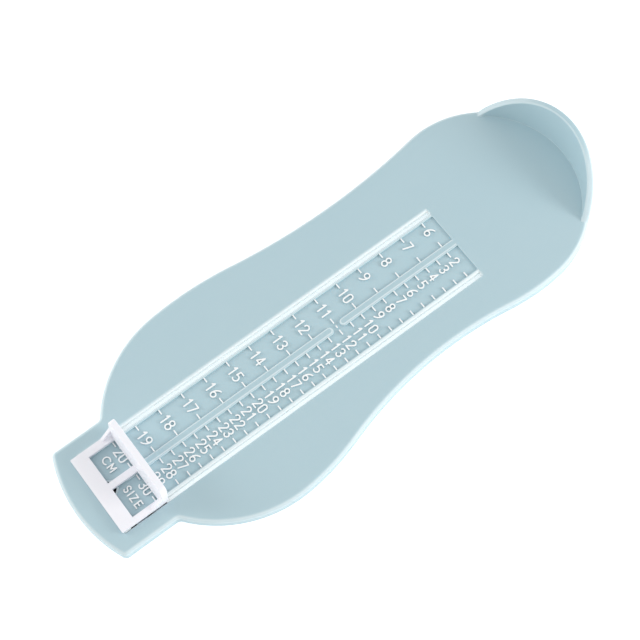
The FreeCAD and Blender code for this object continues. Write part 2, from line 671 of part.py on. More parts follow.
def make_slider_frame():
    """Build the toe stop: a frame with two windows, the upright wall, two gussets and four legs."""
    body = new_body("slider_frame")
    move_to_origin(body)
    frame = new_sketch(body, "frame_outline", height=cell("stop_bottom"))
    half = (side("stop_half", -1), side("stop_half"))
    start_place = dim("stop_face") + dim("stop_lean")
    start = (start_place, "%s + %s" % (cell("stop_face"), cell("stop_lean")))
    add_rectangle(frame, start, side("stop_end"), *half)
    pad(body, "frame", frame, cell("stop_thick"))

    wall = new_sketch(body, "wall_profile", "XZ_Plane")
    foot = (start_place + dim("stop_wall_foot"), "%s + %s" % (start[1], cell("stop_wall_foot")))
    head = (dim("stop_face") + dim("stop_wall_head"), "%s + %s" % (cell("stop_face"), cell("stop_wall_head")))
    corners = [
        (start, side("stop_bottom")),
        (foot, side("stop_bottom")),
        (head, side("stop_wall_top")),
        (side("stop_face"), side("stop_wall_top")),
    ]
    draw_bound_polygon(wall, corners)
    upright = pad(body, "wall", wall, "2 * " + cell("stop_half"))
    upright.Midplane = True
    doc.recompute()

    deck = (dim("stop_bottom") + dim("stop_thick"), "%s + %s" % (cell("stop_bottom"), cell("stop_thick")))
    inner_side = "%s - %s" % (cell("stop_half"), cell("gusset_thick"))
    for name, offset in (("size", "-" + cell("stop_half")), ("cm", inner_side)):
        gusset = new_sketch(body, name + "_gusset_profile", "XZ_Plane", offset)
        corners = [
            (start, deck),
            (side("gusset_end"), deck),
            (head, side("gusset_top")),
            (start, side("gusset_top")),
        ]
        draw_bound_polygon(gusset, corners)
        pad(body, name + "_gusset", gusset, cell("gusset_thick"))

    legs = new_sketch(body, "leg_outlines", height=cell("keeper_bottom"))
    draw_leg_set(legs)
    pad(body, "legs", legs, "%s - %s" % (cell("stop_bottom"), cell("keeper_bottom")))

    windows = new_sketch(body, "window_outlines", height=cell("stop_bottom"))
    length = (side("window_start"), side("window_end"))
    add_rectangle(windows, *length, side("window_inner"), side("window_outer"))
    add_rectangle(windows, *length, side("cm_window_outer", -1), side("window_inner", -1))
    pocket(body, "windows", windows, "2 * " + cell("stop_thick"), upwards=True)

    for name, test, radius in (
        ("wall_corners", is_wall_corner, "stop_wall_round"),
        ("frame_corners", is_frame_corner, "stop_corner"),
        ("wall_rim", is_wall_rim, "stop_edge"),
    ):
        dress(body, "Fillet", name, edges_where(body.Shape, test), "Radius", cell(radius))
    return body


def draw_bound_polygon(sketch, corners):
    """Draw a polygon whose corners are pairs of sides, each a number with its expression."""
    points = [(x[0], y[0]) for x, y in corners]
    expressions = [(x[1], y[1]) for x, y in corners]
    draw_polygon(sketch, points, expressions)


def draw_leg_set(sketch, fit=0.0, fit_expression=""):
    """Draw the outlines of the four legs, widened all round by the fit where asked."""
    length = cell("leg_length")
    grow = " + " + fit_expression if fit_expression else ""
    shrink = " - " + fit_expression if fit_expression else ""
    spans = [
        (
            (dim("leg_start") - fit, cell("leg_start") + shrink),
            (dim("leg_start") + dim("leg_length") + fit, cell("leg_start") + " + " + length + grow),
        ),
        (
            (dim("leg_end") - dim("leg_length") - fit, cell("leg_end") + " - " + length + shrink),
            (dim("leg_end") + fit, cell("leg_end") + grow),
        ),
    ]
    inner = (dim("leg_inner") - fit, cell("leg_inner") + shrink)
    outer = (dim("leg_outer") + fit, cell("leg_outer") + grow)
    far_inner = (-inner[0], "-(%s)" % inner[1])
    far_outer = (-outer[0], "-(%s)" % outer[1])
    for low, high in spans:
        add_rectangle(sketch, low, high, inner, outer)
        add_rectangle(sketch, low, high, far_outer, far_inner)


def is_wall_corner(edge):
    """Tell whether an edge is an upper end of the toe stop's wall."""
    box = edge.BoundBox
    at_end = abs(abs(box.YMin - dim("origin_y")) - dim("stop_half")) < 1e-3
    return is_level(edge, dim("stop_wall_top")) and box.YLength < 1e-3 and at_end


def is_frame_corner(edge):
    """Tell whether an edge is an upright toe-side corner of the toe stop's frame."""
    box = edge.BoundBox
    at_end = abs(box.XMin - dim("origin_x") - dim("stop_end")) < 1e-3 and box.XLength < 1e-3
    return at_end and box.YLength < 1e-3 and box.ZLength > 0.5 * dim("stop_thick")


def is_wall_rim(edge):
    """Tell whether an edge runs along the top of the wall or round its upper corners."""
    box = edge.BoundBox
    return box.ZMax > dim("stop_wall_top") - 1e-3 and box.YLength > 1e-3 and box.ZMin > dim("gusset_top") + 1


def make_slider_keeper():
    """Build the keeper: the plate under the slots that the four legs are pressed into."""
    body = new_body("slider_keeper")
    move_to_origin(body)
    outline = new_sketch(body, "keeper_outline", height=cell("keeper_bottom"))
    half = (side("keeper_half", -1), side("keeper_half"))
    add_rectangle(outline, side("keeper_start"), side("keeper_end"), *half)
    pad(body, "keeper", outline, cell("keeper_thick"))
    sockets = new_sketch(body, "socket_outlines", height=cell("keeper_bottom"))
    draw_leg_set(sockets, dim("keeper_fit"), cell("keeper_fit"))
    pocket(body, "sockets", sockets, cell("keeper_thick"), upwards=True)
    corners = edges_where(body.Shape, is_keeper_corner)
    dress(body, "Fillet", "keeper_corners", corners, "Radius", cell("keeper_corner"))
    return body


def is_keeper_corner(edge):
    """Tell whether an edge is an upright corner of the keeper."""
    box = edge.BoundBox
    at_side = abs(abs(box.YMin - dim("origin_y")) - dim("keeper_half")) < 1e-3
    return at_side and box.YLength < 1e-3 and box.XLength < 1e-3


# ---------------------------------------------------------------- raised marks


def make_ticks(name, first, step, count, spans):
    """Build the lines of one scale: two rows of bars, repeated along the recess."""
    body = new_body(name)
    body.AllowCompound = True
    move_to_origin(body)
    sketch = new_sketch(body, name + "_first", height=floor_height())
    low = (dim(first) - 0.5 * dim("tick_width"), "%s - 0.5 * %s" % (cell(first), cell("tick_width")))
    high = (dim(first) + 0.5 * dim("tick_width"), "%s + 0.5 * %s" % (cell(first), cell("tick_width")))
    for y_low, y_high in spans:
        add_rectangle(sketch, low, high, y_low, y_high)
    bar = pad(body, name + "_bars", sketch, cell("mark_height"))
    row = body.newObject("PartDesign::LinearPattern", name + "_row")
    row.Originals = [bar]
    row.Direction = (sketch, ["H_Axis"])
    row.setExpression("Length", "%d * %s" % (count - 1, cell(step)))
    row.Occurrences = count
    body.Tip = row
    doc.recompute()
    return body


def tick_spans(sign):
    """Return the two spans across the recess of one scale's lines, on the side given by sign."""
    mirror = "-(%s)" if sign < 0 else "%s"
    rib_reach = "%s + %s" % (cell("rib_half"), cell("tick_rib_length"))
    wall_reach = "%s - %s" % (cell("channel_half"), cell("tick_outer_length"))
    at_rib = (sign * (dim("rib_half") + dim("tick_rib_length")), mirror % rib_reach)
    at_wall = (sign * (dim("channel_half") - dim("tick_outer_length")), mirror % wall_reach)
    rib_side = side("rib_half", sign)
    wall_side = side("channel_half", sign)
    if sign > 0:
        return [(rib_side, at_rib), (at_wall, wall_side)]
    return [(at_rib, rib_side), (wall_side, at_wall)]


def make_centre_line(body):
    """Add the short line in the gap of the centre rib."""
    sketch = new_sketch(body, "gap_line", height=floor_height())
    middle = "0.5 * (%s + %s)" % (cell("rib_gap_start"), cell("rib_gap_end"))
    place = 0.5 * (dim("rib_gap_start") + dim("rib_gap_end"))
    half = 0.5 * dim("tick_width")
    low = (place - half, "%s - 0.5 * %s" % (middle, cell("tick_width")))
    high = (place + half, "%s + 0.5 * %s" % (middle, cell("tick_width")))
    add_rectangle(sketch, low, high, side("gap_tick_half", -1), side("gap_tick_half"))
    pad(body, "gap_line_bar", sketch, cell("mark_height"))


def line(x0, y0, x1, y1):
    """Return a straight stroke with round ends as one solid."""
    radius = 0.5 * dim("stroke")
    run = Vector(x1 - x0, y1 - y0, 0)
    across = Vector(-run.y, run.x, 0)
    across.normalize()
    across = across * radius
    start, stop = Vector(x0, y0, 0), Vector(x1, y1, 0)
    corners = [start - across, stop - across, stop + across, start + across, start - across]
    bar = Part.Face(Part.makePolygon(corners)).extrude(Vector(0, 0, dim("mark_height")))
    return [bar, dot(x0, y0), dot(x1, y1)]


def dot(x, y):
    """Return the round end of a stroke."""
    return Part.makeCylinder(0.5 * dim("stroke"), dim("mark_height"), Vector(x, y, 0))


def arc(x, y, radius, start, stop):
    """Return a round stroke about a centre, counter-clockwise between two angles in degrees."""
    grow = 0.5 * dim("stroke")
    height = dim("mark_height")
    centre, up = Vector(x, y, 0), Vector(0, 0, 1)
    sweep = min(stop - start, 360.0)
    ring = Part.makeCylinder(radius + grow, height, centre, up, sweep)
    if radius > grow:
        ring = ring.cut(Part.makeCylinder(radius - grow, height, centre, up, sweep))
    ring.rotate(centre, up, start)
    if sweep == 360.0:
        return [ring]
    ends = [math.radians(a) for a in (start, stop)]
    return [ring] + [dot(x + radius * math.cos(a), y + radius * math.sin(a)) for a in ends]


def bars(*corners):
    """Return the straight strokes of a polyline through the corners."""
    strokes = []
    for a, b in zip(corners, corners[1:]):
        strokes += line(*a, *b)
    return strokes


def digit_strokes(digit, h):
    """Return the strokes of a digit; h is the height and h / 2 the width of its centre lines."""
    w = 0.5 * h
    r = 0.25 * h
    if digit == "0":
        sides = line(0, r, 0, h - r) + line(w, r, w, h - r)
        return sides + arc(r, h - r, r, 0, 180) + arc(r, r, r, 180, 360)
    if digit == "1":
        return bars((0.2 * w, 0.78 * h), (0.55 * w, h), (0.55 * w, 0))
    if digit == "2":
        # the diagonal leaves the round head just past the point where it would touch it
        return arc(r, 3 * r, r, -45, 180) + bars((1.707 * r, 2.293 * r), (0, 0), (w, 0))
    if digit == "3":
        return arc(r, 3 * r, r, -90, 160) + arc(r, r, r, -160, 90)
    if digit == "4":
        return bars((0.72 * w, 0), (0.72 * w, h), (0, 0.3 * h), (w, 0.3 * h))
    if digit == "5":
        bowl = arc(0.8 * r, 1.2 * r, 1.2 * r, -130, 125)
        return bowl + bars((0.95 * w, h), (0.3 * r, h), (0.112 * r, 2.183 * r))
    if digit == "6":
        return arc(r, r, r, 0, 360) + arc(0.8 * h, r, 0.8 * h, 112, 180)
    if digit == "7":
        return bars((0, h), (w, h), (0.3 * w, 0))
    if digit == "8":
        return arc(r, 0.265 * h, 0.265 * h, 0, 360) + arc(r, 0.765 * h, 0.235 * h, 0, 360)
    return arc(r, h - r, r, 0, 360) + arc(w - 0.8 * h, h - r, 0.8 * h, -68, 0)


def letter_strokes(letter, h):
    """Return the strokes of a label's letter and the width of its centre lines."""
    r = 0.25 * h
    if letter == "C":
        return arc(0.5 * h, 0.5 * h, 0.5 * h, 45, 315), 0.85 * h
    if letter == "M":
        w = 0.72 * h
        return bars((0, 0), (0, h), (0.5 * w, 0.3 * h), (w, h), (w, 0)), w
    if letter == "S":
        return arc(r, 3 * r, r, 20, 270) + arc(r, r, r, -160, 90), 0.5 * h
    if letter == "I":
        return bars((0, 0), (0, h)), 0.0
    if letter == "Z":
        w = 0.57 * h
        return bars((0, h), (w, h), (0, 0), (w, 0)), w
    w = 0.54 * h
    return bars((w, 0), (0, 0), (0, h), (w, h)) + bars((0, 0.5 * h), (0.85 * w, 0.5 * h)), w


def glyph(strokes):
    """Join a glyph's strokes and turn its top towards the heel."""
    solid = strokes[0].multiFuse(strokes[1:]).removeSplitter()
    solid.rotate(Vector(0, 0, 0), Vector(0, 0, 1), 90)
    return solid


def write_marks(name, solids):
    """Add a piece made of raised glyphs."""
    piece = doc.addObject("Part::Feature", name)
    piece.Label = name
    piece.Shape = Part.makeCompound(solids)
    move_to_origin(piece)
    return piece


def make_numerals(name, numbers, first_place, step, height, start, gap):
    """Build the numerals of one scale, left-aligned, each centred on its own line."""
    tall = height - dim("stroke")
    digits = {digit: glyph(digit_strokes(digit, tall)) for digit in "0123456789"}
    floor = dim("plate_height") - dim("channel_depth")
    solids = []
    for index, number in enumerate(numbers):
        x = first_place + index * step + 0.5 * tall
        for column, digit in enumerate(str(number)):
            y = start + 0.5 * dim("stroke") + column * (0.5 * tall + dim("stroke") + gap)
            solids.append(digits[digit].translated(Vector(x, y, floor)))
    return write_marks(name, solids)


def make_unit_labels():
    """Build the labels at the toe end of the two lanes."""
    tall = dim("label_height") - dim("stroke")
    floor = dim("plate_height") - dim("channel_depth")
    solids = []
    for text, start in ((CM_LABEL, dim("cm_label_start")), (SIZE_LABEL, dim("size_label_start"))):
        y = start + 0.5 * dim("stroke")
        for letter in text:
            strokes, width = letter_strokes(letter, tall)
            solids.append(glyph(strokes).translated(Vector(dim("label_x") + 0.5 * tall, y, floor)))
            y += width + dim("stroke") + dim("label_gap")
    return write_marks("unit_labels", solids)


# ---------------------------------------------------------------- the whole part


def main():
    """Build every piece, check it and write it out."""
    cm_ticks = make_ticks("cm_ticks", "cm_first", "cm_step", len(CM_NUMBERS), tick_spans(-1))
    make_centre_line(cm_ticks)
    cm_look = (dim("cm_numeral"), dim("cm_numeral_start"), dim("cm_numeral_gap"))
    size_look = (dim("size_numeral"), dim("size_numeral_start"), dim("size_numeral_gap"))
    pieces = [
        make_foot_plate(),
        make_slider_frame(),
        make_slider_keeper(),
        cm_ticks,
        make_ticks("size_ticks", "size_first", "size_step", len(SIZE_NUMBERS), tick_spans(1)),
        make_numerals("cm_numerals", CM_NUMBERS, dim("cm_first"), dim("cm_step"), *cm_look),
        make_numerals("size_numerals", SIZE_NUMBERS, dim("size_first"), dim("size_step"), *size_look),
        make_unit_labels(),
    ]
    doc.recompute()
    for item in doc.Objects:
        if "Invalid" in item.State or "Error" in item.State:
            raise RuntimeError(item.Name + " can't be computed")
    os.makedirs(OUT_DIR, exist_ok=True)
    for piece in pieces:
        shape = piece.Shape
        if shape.isNull() or not shape.isValid():
            raise RuntimeError(piece.Label + " isn't a valid shape")
        shape.exportStep(os.path.join(OUT_DIR, piece.Label + ".step"))


main()
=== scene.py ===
"""A small child's sliding foot gauge: a moulded plate with a heel cup and a toe stop.

All sizes are millimetres from the gauge's own datum: X runs from the heel's resting place, the zero
of the centimetre scale, to the toe end, Y from the scale's centre line to the shoe-size lane, and Z
up from the table. Meshes are moved to the frame and turned to metres as they are put into Blender.
"""

import logging
import math
from dataclasses import dataclass, field
from enum import Enum
from typing import Any, Optional, Sequence, Union

import bmesh
import bpy
import numpy as np
from bpy.types import Material, Mesh, Node, NodeTree, Object
from mathutils import Matrix, Vector


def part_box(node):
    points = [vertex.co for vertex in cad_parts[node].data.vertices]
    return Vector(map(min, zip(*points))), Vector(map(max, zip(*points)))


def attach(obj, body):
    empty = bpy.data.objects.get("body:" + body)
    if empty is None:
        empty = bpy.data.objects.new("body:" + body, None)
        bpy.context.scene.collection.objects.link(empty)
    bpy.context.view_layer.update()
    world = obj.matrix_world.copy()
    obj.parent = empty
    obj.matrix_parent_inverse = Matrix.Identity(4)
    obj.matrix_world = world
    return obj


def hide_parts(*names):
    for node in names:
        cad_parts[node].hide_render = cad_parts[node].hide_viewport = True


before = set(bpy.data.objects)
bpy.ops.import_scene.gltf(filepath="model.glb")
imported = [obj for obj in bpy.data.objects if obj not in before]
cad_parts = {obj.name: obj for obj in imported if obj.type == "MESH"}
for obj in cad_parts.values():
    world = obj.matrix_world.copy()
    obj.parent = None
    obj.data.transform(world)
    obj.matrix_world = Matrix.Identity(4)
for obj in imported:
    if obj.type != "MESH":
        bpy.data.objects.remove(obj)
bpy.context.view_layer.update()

MM = 0.001
FIRST_LINE = 60.0
LINE_WIDTH = 0.5

# Points closer than WELD_GAP are one point, and edges shorter than SHORTEST_EDGE are taken out.
# Faces within FLAT_TURN degrees are one face, and edges sharper than EDGE_TURN degrees are rounded.
WELD_GAP = 0.002
SHORTEST_EDGE = 0.001
FLAT_TURN = 0.3
EDGE_TURN = 35.0

Array = np.ndarray
Measure = Union[float, Array]
Point = tuple[float, float, float]
log = logging.getLogger("foot_gauge")


class Body(Enum):
    """The two bodies that move apart."""

    PLATE = "plate"
    TOE_STOP = "toe_stop"


class Slot(Enum):
    """The record's material slots."""

    PLATE = "plate_plastic"
    SLIDER = "slider_plastic"
    KEEPER = "keeper_plastic"
    MARKS = "mark_foil"


# ---------------------------------------------------------------- datum and meshes


def datum_in_frame() -> Array:
    """Work out where the gauge's datum lies in the frame.

    The first centimetre line is centred FIRST_LINE from the datum, and the toe stop is centred on
    the scale's centre line.

    Returns:
        The datum's place in millimetres.
    """
    line_low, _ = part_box("cm_ticks")
    stop_low, stop_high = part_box("slider_frame")
    x = line_low.x / MM + 0.5 * LINE_WIDTH - FIRST_LINE
    y = 0.5 * (stop_low.y + stop_high.y) / MM
    return np.array([x, y, 0.0])


DATUM = datum_in_frame()


@dataclass
class Shell:
    """Collects grids and flat faces of one closed surface, in millimetres."""

    vertices: list[Array] = field(default_factory=list)
    faces: list[list[tuple[int, ...]]] = field(default_factory=list)
    count: int = 0

    def add(self, points: Array, faces: Sequence[Sequence[int]]) -> None:
        """Add points and the faces between them.

        Args:
            points: One row per vertex.
            faces: Vertex numbers of each face, counted within points.
        """
        self.vertices.append(points)
        self.faces.append([tuple(int(i) + self.count for i in face) for face in faces])
        self.count += len(points)

    def add_band(self, band: Array) -> None:
        """Add a closed band, one quad for each step round it and across it.

        Args:
            band: Vertices as (steps round, steps across, 3).
        """
        around, across = band.shape[:2]
        here = np.arange(around)[:, None] * across + np.arange(across - 1)[None, :]
        there = np.roll(here, -1, axis=0)
        quads = np.stack([here, there, there + 1, here + 1], axis=-1).reshape(-1, 4)
        self.add(band.reshape(-1, 3), quads.tolist())

    def add_flat(self, outer: Array, holes: Sequence[Array] = ()) -> None:
        """Fill the flat space between an outer loop and the loops of its holes with triangles.

        Args:
            outer: The outer loop's vertices, (count, 3).
            holes: The loops of the holes.
        """
        filled = bmesh.new()
        edges = []
        for loop in (outer, *holes):
            corners = [filled.verts.new(point) for point in loop]
            edges += [filled.edges.new((a, b)) for a, b in zip(corners, corners[1:] + corners[:1])]
        bmesh.ops.triangle_fill(filled, use_beauty=True, use_dissolve=False, edges=edges)
        filled.verts.index_update()
        points = np.array([vertex.co for vertex in filled.verts])
        triangles = [[vertex.index for vertex in face.verts] for face in filled.faces]
        filled.free()
        self.add(points, triangles)

    def build(self, name: str) -> Object:
        """Weld the surface, turn its faces outwards and put it into the scene.

        Args:
            name: The new object's name.

        Returns:
            The object, in metres, at the frame's origin.
        """
        mesh = bpy.data.meshes.new(name)
        places = (np.concatenate(self.vertices) + DATUM) * MM
        mesh.from_pydata(places.tolist(), [], [face for group in self.faces for face in group])
        surface = bmesh.new()
        surface.from_mesh(mesh)
        bmesh.ops.remove_doubles(surface, verts=surface.verts, dist=WELD_GAP * MM)
        bmesh.ops.dissolve_degenerate(surface, edges=surface.edges, dist=SHORTEST_EDGE * MM)
        bmesh.ops.recalc_face_normals(surface, faces=surface.faces)
        open_edges = sum(not edge.is_manifold for edge in surface.edges)
        surface.to_mesh(mesh)
        surface.free()
        if open_edges:
            log.warning("%s has %d open edges", name, open_edges)
        return add_object(name, mesh)


def add_object(name: str, mesh: Mesh) -> Object:
    """Link a mesh into the scene as an object at the origin.

    Args:
        name: The object's name.
        mesh: Its mesh.

    Returns:
        The object.
    """
    piece = bpy.data.objects.new(name, mesh)
    bpy.context.scene.collection.objects.link(piece)
    return piece


def finish_edges(piece: Object, rounding: float = 0.0, segments: int = 3) -> None:
    """Round a piece's sharp edges and shade it as one smooth moulding.

    Args:
        piece: The object.
        rounding: Width of the rounding in millimetres, or zero for none.
        segments: Faces across one rounding.
    """
    if rounding:
        bevel = piece.modifiers.new("moulded_edges", "BEVEL")
        bevel.width = rounding * MM
        bevel.segments = segments
        bevel.limit_method = "ANGLE"
        bevel.angle_limit = math.radians(EDGE_TURN)
        bevel.use_clamp_overlap = True
    piece.data.shade_smooth()
    normals = piece.modifiers.new("smooth_shading", "WEIGHTED_NORMAL")
    normals.keep_sharp = True
    normals.weight = 100


def moulded_copy(node: str, name: str, rounding: float, segments: int = 2) -> Object:
    """Copy a CAD node, weld its triangles into whole faces and round its edges.

    Args:
        node: The CAD node.
        name: The copy's name.
        rounding: Width of the rounding in millimetres.
        segments: Faces across one rounding.

    Returns:
        The copy, which stands for the node.
    """
    surface = bmesh.new()
    surface.from_mesh(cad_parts[node].data)
    bmesh.ops.remove_doubles(surface, verts=surface.verts, dist=WELD_GAP * MM)
    flat = math.radians(FLAT_TURN)
    bmesh.ops.dissolve_limit(surface, angle_limit=flat, verts=surface.verts, edges=surface.edges)
    mesh = bpy.data.meshes.new(name)
    surface.to_mesh(mesh)
    surface.free()
    piece = add_object(name, mesh)
    finish_edges(piece, rounding, segments)
    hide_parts(node)
    return piece


# ---------------------------------------------------------------- outlines in plan


@dataclass(frozen=True)
class Loop:
    """A closed run of points in plan, counter-clockwise, with the outward normal at each.

    Points and normals are complex numbers, x + iy.
    """

    points: Array
    normals: Array

    def band(self, profile: Array) -> Array:
        """Carry a profile along the loop: each point moves inwards by the profile's inset.

        Args:
            profile: Pairs of inset and height, (steps, 2) or (points, steps, 2).

        Returns:
            The vertices, (points, steps, 3).
        """
        across = np.broadcast_to(profile, (len(self.points), *profile.shape[-2:]))
        plan = self.points[:, None] - across[..., 0] * self.normals[:, None]
        return np.stack([plan.real, plan.imag, across[..., 1]], axis=-1)


@dataclass(frozen=True)
class Arc:
    """An arc of an outline; its radius is negative where the outline is hollow."""

    centre: complex
    radius: float

    def normal_to(self, other: "Arc") -> complex:
        """Give the outward normal where this arc touches another one."""
        return (other.centre - self.centre) / (self.radius - other.radius)

    def sample(self, start: complex, stop: complex, spacing: float) -> tuple[Array, Array]:
        """Walk the arc between two normals, counter-clockwise unless it is hollow.

        Args:
            start: The normal where the arc begins.
            stop: The normal where it ends.
            spacing: Distance between two points.

        Returns:
            The points and the normals, without the last of them.
        """
        turn = math.copysign(1.0, self.radius)
        swing = turn * (turn * np.angle(stop / start) % (2.0 * np.pi))
        count = max(2, math.ceil(abs(swing * self.radius) / spacing))
        normals = start * np.exp(1j * swing * np.arange(count) / count)
        return self.centre + self.radius * normals, normals


def touching_from_inside(x: float, radius: float, inner: Arc, side: int) -> Arc:
    """Give the arc round a centre at x that an inner arc touches from inside.

    Args:
        x: Where the arc's centre lies along the gauge.
        radius: The arc's radius.
        inner: The arc that it touches.
        side: 1 if the centre lies on the shoe-size side of the inner arc's, or -1.

    Returns:
        The arc.
    """
    reach = radius - inner.radius
    y = inner.centre.imag + side * math.sqrt(reach**2 - (x - inner.centre.real) ** 2)
    return Arc(complex(x, y), radius)


def hollow_between(a: Arc, b: Arc, radius: float, side: int) -> Arc:
    """Give the hollow arc that touches two arcs from outside.

    Args:
        a: The first arc.
        b: The second arc.
        radius: The hollow arc's radius.
        side: 1 if it lies on the shoe-size side, or -1.

    Returns:
        The hollow arc, with a negative radius.
    """
    gap = b.centre - a.centre
    along = gap / abs(gap)
    reach_a, reach_b = a.radius + radius, b.radius + radius
    step = (reach_a**2 - reach_b**2 + abs(gap) ** 2) / (2 * abs(gap))
    across = 1j * along
    across *= side * math.copysign(1.0, across.imag)
    return Arc(a.centre + along * step + across * math.sqrt(reach_a**2 - step**2), -radius)


@dataclass(frozen=True)
class SoleOutline:
    """The sole's outline: tangent arcs round heel, waist, ball and toes, and a tongue."""

    heel: Arc = Arc(36.0 - 5.85j, 38.95)
    flank_x: float = 41.1
    flank_radius: float = 83.2
    size_waist: float = 160.7
    size_ball_x: float = 161.4
    size_ball_radius: float = 101.4
    size_toe: Arc = Arc(157.5 - 6.8j, 49.9)
    cm_waist: float = 270.5
    cm_ball_x: float = 148.6
    cm_ball_radius: float = 145.3
    cm_toe: Arc = Arc(157.1 + 6.5j, 51.6)
    tongue_half: float = 23.5
    tongue_tip: float = 225.05
    tongue_end: float = 56.0
    corner: float = 2.2
    spacing: float = 0.8
    corner_spacing: float = 0.3
    small_radius: float = 5.0

    def tongue_arcs(self, toe: Arc, side: int) -> tuple[Arc, Arc]:
        """Give the rounded corners at the tongue's tip and where the tongue leaves the sole.

        Args:
            toe: The toe arc that the tongue leaves.
            side: 1 on the shoe-size side, or -1.

        Returns:
            The corner at the tip and the hollow corner at the sole.
        """
        end_x = self.tongue_tip - self.tongue_end
        tip_y = self.tongue_half - self.corner
        tip_x = end_x + math.sqrt((self.tongue_end - self.corner) ** 2 - tip_y**2)
        root_y = self.tongue_half + self.corner
        rise = side * root_y - toe.centre.imag
        root_x = toe.centre.real + math.sqrt((toe.radius + self.corner) ** 2 - rise**2)
        tip = Arc(complex(tip_x, side * tip_y), self.corner)
        return tip, Arc(complex(root_x, side * root_y), -self.corner)

    def loop(self) -> Loop:
        """Walk round the whole outline, from the tongue's end along the shoe-size side.

        Returns:
            The outline as one loop.
        """
        end = Arc(complex(self.tongue_tip - self.tongue_end, 0.0), self.tongue_end)
        flank = touching_from_inside(self.flank_x, self.flank_radius, self.heel, -1)
        size_ball = touching_from_inside(self.size_ball_x, self.size_ball_radius, self.size_toe, -1)
        cm_ball = touching_from_inside(self.cm_ball_x, self.cm_ball_radius, self.cm_toe, 1)
        size_tip, size_root = self.tongue_arcs(self.size_toe, 1)
        cm_tip, cm_root = self.tongue_arcs(self.cm_toe, -1)
        sole = [
            size_root,
            self.size_toe,
            size_ball,
            hollow_between(flank, size_ball, self.size_waist, 1),
            flank,
            self.heel,
            hollow_between(self.heel, cm_ball, self.cm_waist, -1),
            cm_ball,
            self.cm_toe,
            cm_root,
        ]
        runs = []
        normals = [1j, *(a.normal_to(b) for a, b in zip(sole, sole[1:])), -1j]
        for arc, start, stop in zip(sole, normals, normals[1:]):
            runs.append(arc.sample(start, stop, self.step_for(arc)))
        runs.append(self.straight(cm_root.centre.real, cm_tip.centre.real, -1))
        tip_normal = end.normal_to(size_tip)
        runs.append(cm_tip.sample(-1j, tip_normal.conjugate(), self.corner_spacing))
        runs.append(end.sample(tip_normal.conjugate(), tip_normal, self.spacing))
        runs.append(size_tip.sample(tip_normal, 1j, self.corner_spacing))
        runs.append(self.straight(size_tip.centre.real, size_root.centre.real, 1))
        points, directions = zip(*runs)
        return Loop(np.concatenate(points), np.concatenate(directions))

    def step_for(self, arc: Arc) -> float:
        """Give the distance between two points, shorter on a small corner."""
        return self.corner_spacing if abs(arc.radius) < self.small_radius else self.spacing

    def straight(self, start_x: float, stop_x: float, side: int) -> tuple[Array, Array]:
        """Walk along one straight side of the tongue in even steps.

        Args:
            start_x: Where the walk begins along the gauge.
            stop_x: Where it ends.
            side: 1 on the shoe-size side, or -1.

        Returns:
            The points and the normals, without the last of them.
        """
        count = math.ceil(abs(stop_x - start_x) / self.spacing)
        x = start_x + (stop_x - start_x) * np.arange(count) / count
        return x + 1j * side * self.tongue_half, np.full(count, side * 1j)


def rounded_rectangle(low: complex, high: complex, radius: float, steps: int = 6) -> Loop:
    """Walk round a rectangle with rounded corners.

    Args:
        low: The corner with the lowest x and y.
        high: The corner with the highest x and y.
        radius: The corners' radius.
        steps: Steps round each corner.

    Returns:
        The rectangle as a loop; its long sides are one step each.
    """
    turn = np.exp(0.5j * np.pi * np.arange(steps + 1) / steps)
    signs = ((1, 1), (-1, 1), (-1, -1), (1, -1))
    middle, half = 0.5 * (low + high), 0.5 * (high - low)
    points, normals = [], []
    for quarter, (sign_x, sign_y) in enumerate(signs):
        facing = turn * 1j**quarter
        corner = middle + sign_x * (half.real - radius) + 1j * sign_y * (half.imag - radius)
        points.append(corner + radius * facing)
        normals.append(facing)
    return Loop(np.concatenate(points), np.concatenate(normals))


def notched_rectangle(
    rectangle: Loop, tongue_half: float, tongue_tip: float, steps: int = 16
) -> Loop:
    """Let a tongue with a round tip into a rectangle from its heel side.

    The first half of the rectangle's points ends at its heel side, and there the tongue comes in.

    Args:
        rectangle: The rectangle, with its points in the order of rounded_rectangle.
        tongue_half: Half the tongue's width.
        tongue_tip: Where the tongue's tip lies along the gauge.
        steps: Steps round the tip.

    Returns:
        The outline, with its normals pointing into the tongue.
    """
    heel_x = rectangle.points.real.min()
    half = len(rectangle.points) // 2
    facing = -np.exp(1j * np.pi * (0.5 - np.arange(steps + 1) / steps))
    tip = tongue_tip - tongue_half - tongue_half * facing
    root = np.array([heel_x + 1j * tongue_half])
    corner = np.array([-1.0 - 1.0j])
    before, after = slice(None, half), slice(half, None)
    points = [rectangle.points[before], root, tip, root.conjugate(), rectangle.points[after]]
    normals = [rectangle.normals[before], corner, facing, corner.conjugate()]
    return Loop(np.concatenate(points), np.concatenate([*normals, rectangle.normals[after]]))


def circle(x: float, radius: float, steps: int = 64) -> Loop:
    """Walk round a circle centred on the scale's centre line."""
    facing = np.exp(2j * np.pi * np.arange(steps) / steps)
    return Loop(x + radius * facing, facing)


def stadium(start_x: float, stop_x: float, radius: float, steps: int = 16) -> Loop:
    """Walk round a bar with round ends that lies along the scale's centre line.

    Args:
        start_x: Where the bar begins along the gauge.
        stop_x: Where it ends.
        radius: The ends' radius, half the bar's width.
        steps: Steps round each end.

    Returns:
        The bar's outline; its long sides are one step each.
    """
    turn = np.exp(1j * np.pi * (np.arange(steps + 1) / steps - 0.5))
    toe = stop_x - radius + radius * turn
    heel = start_x + radius - radius * turn
    return Loop(np.concatenate([toe, heel]), np.concatenate([turn, -turn]))


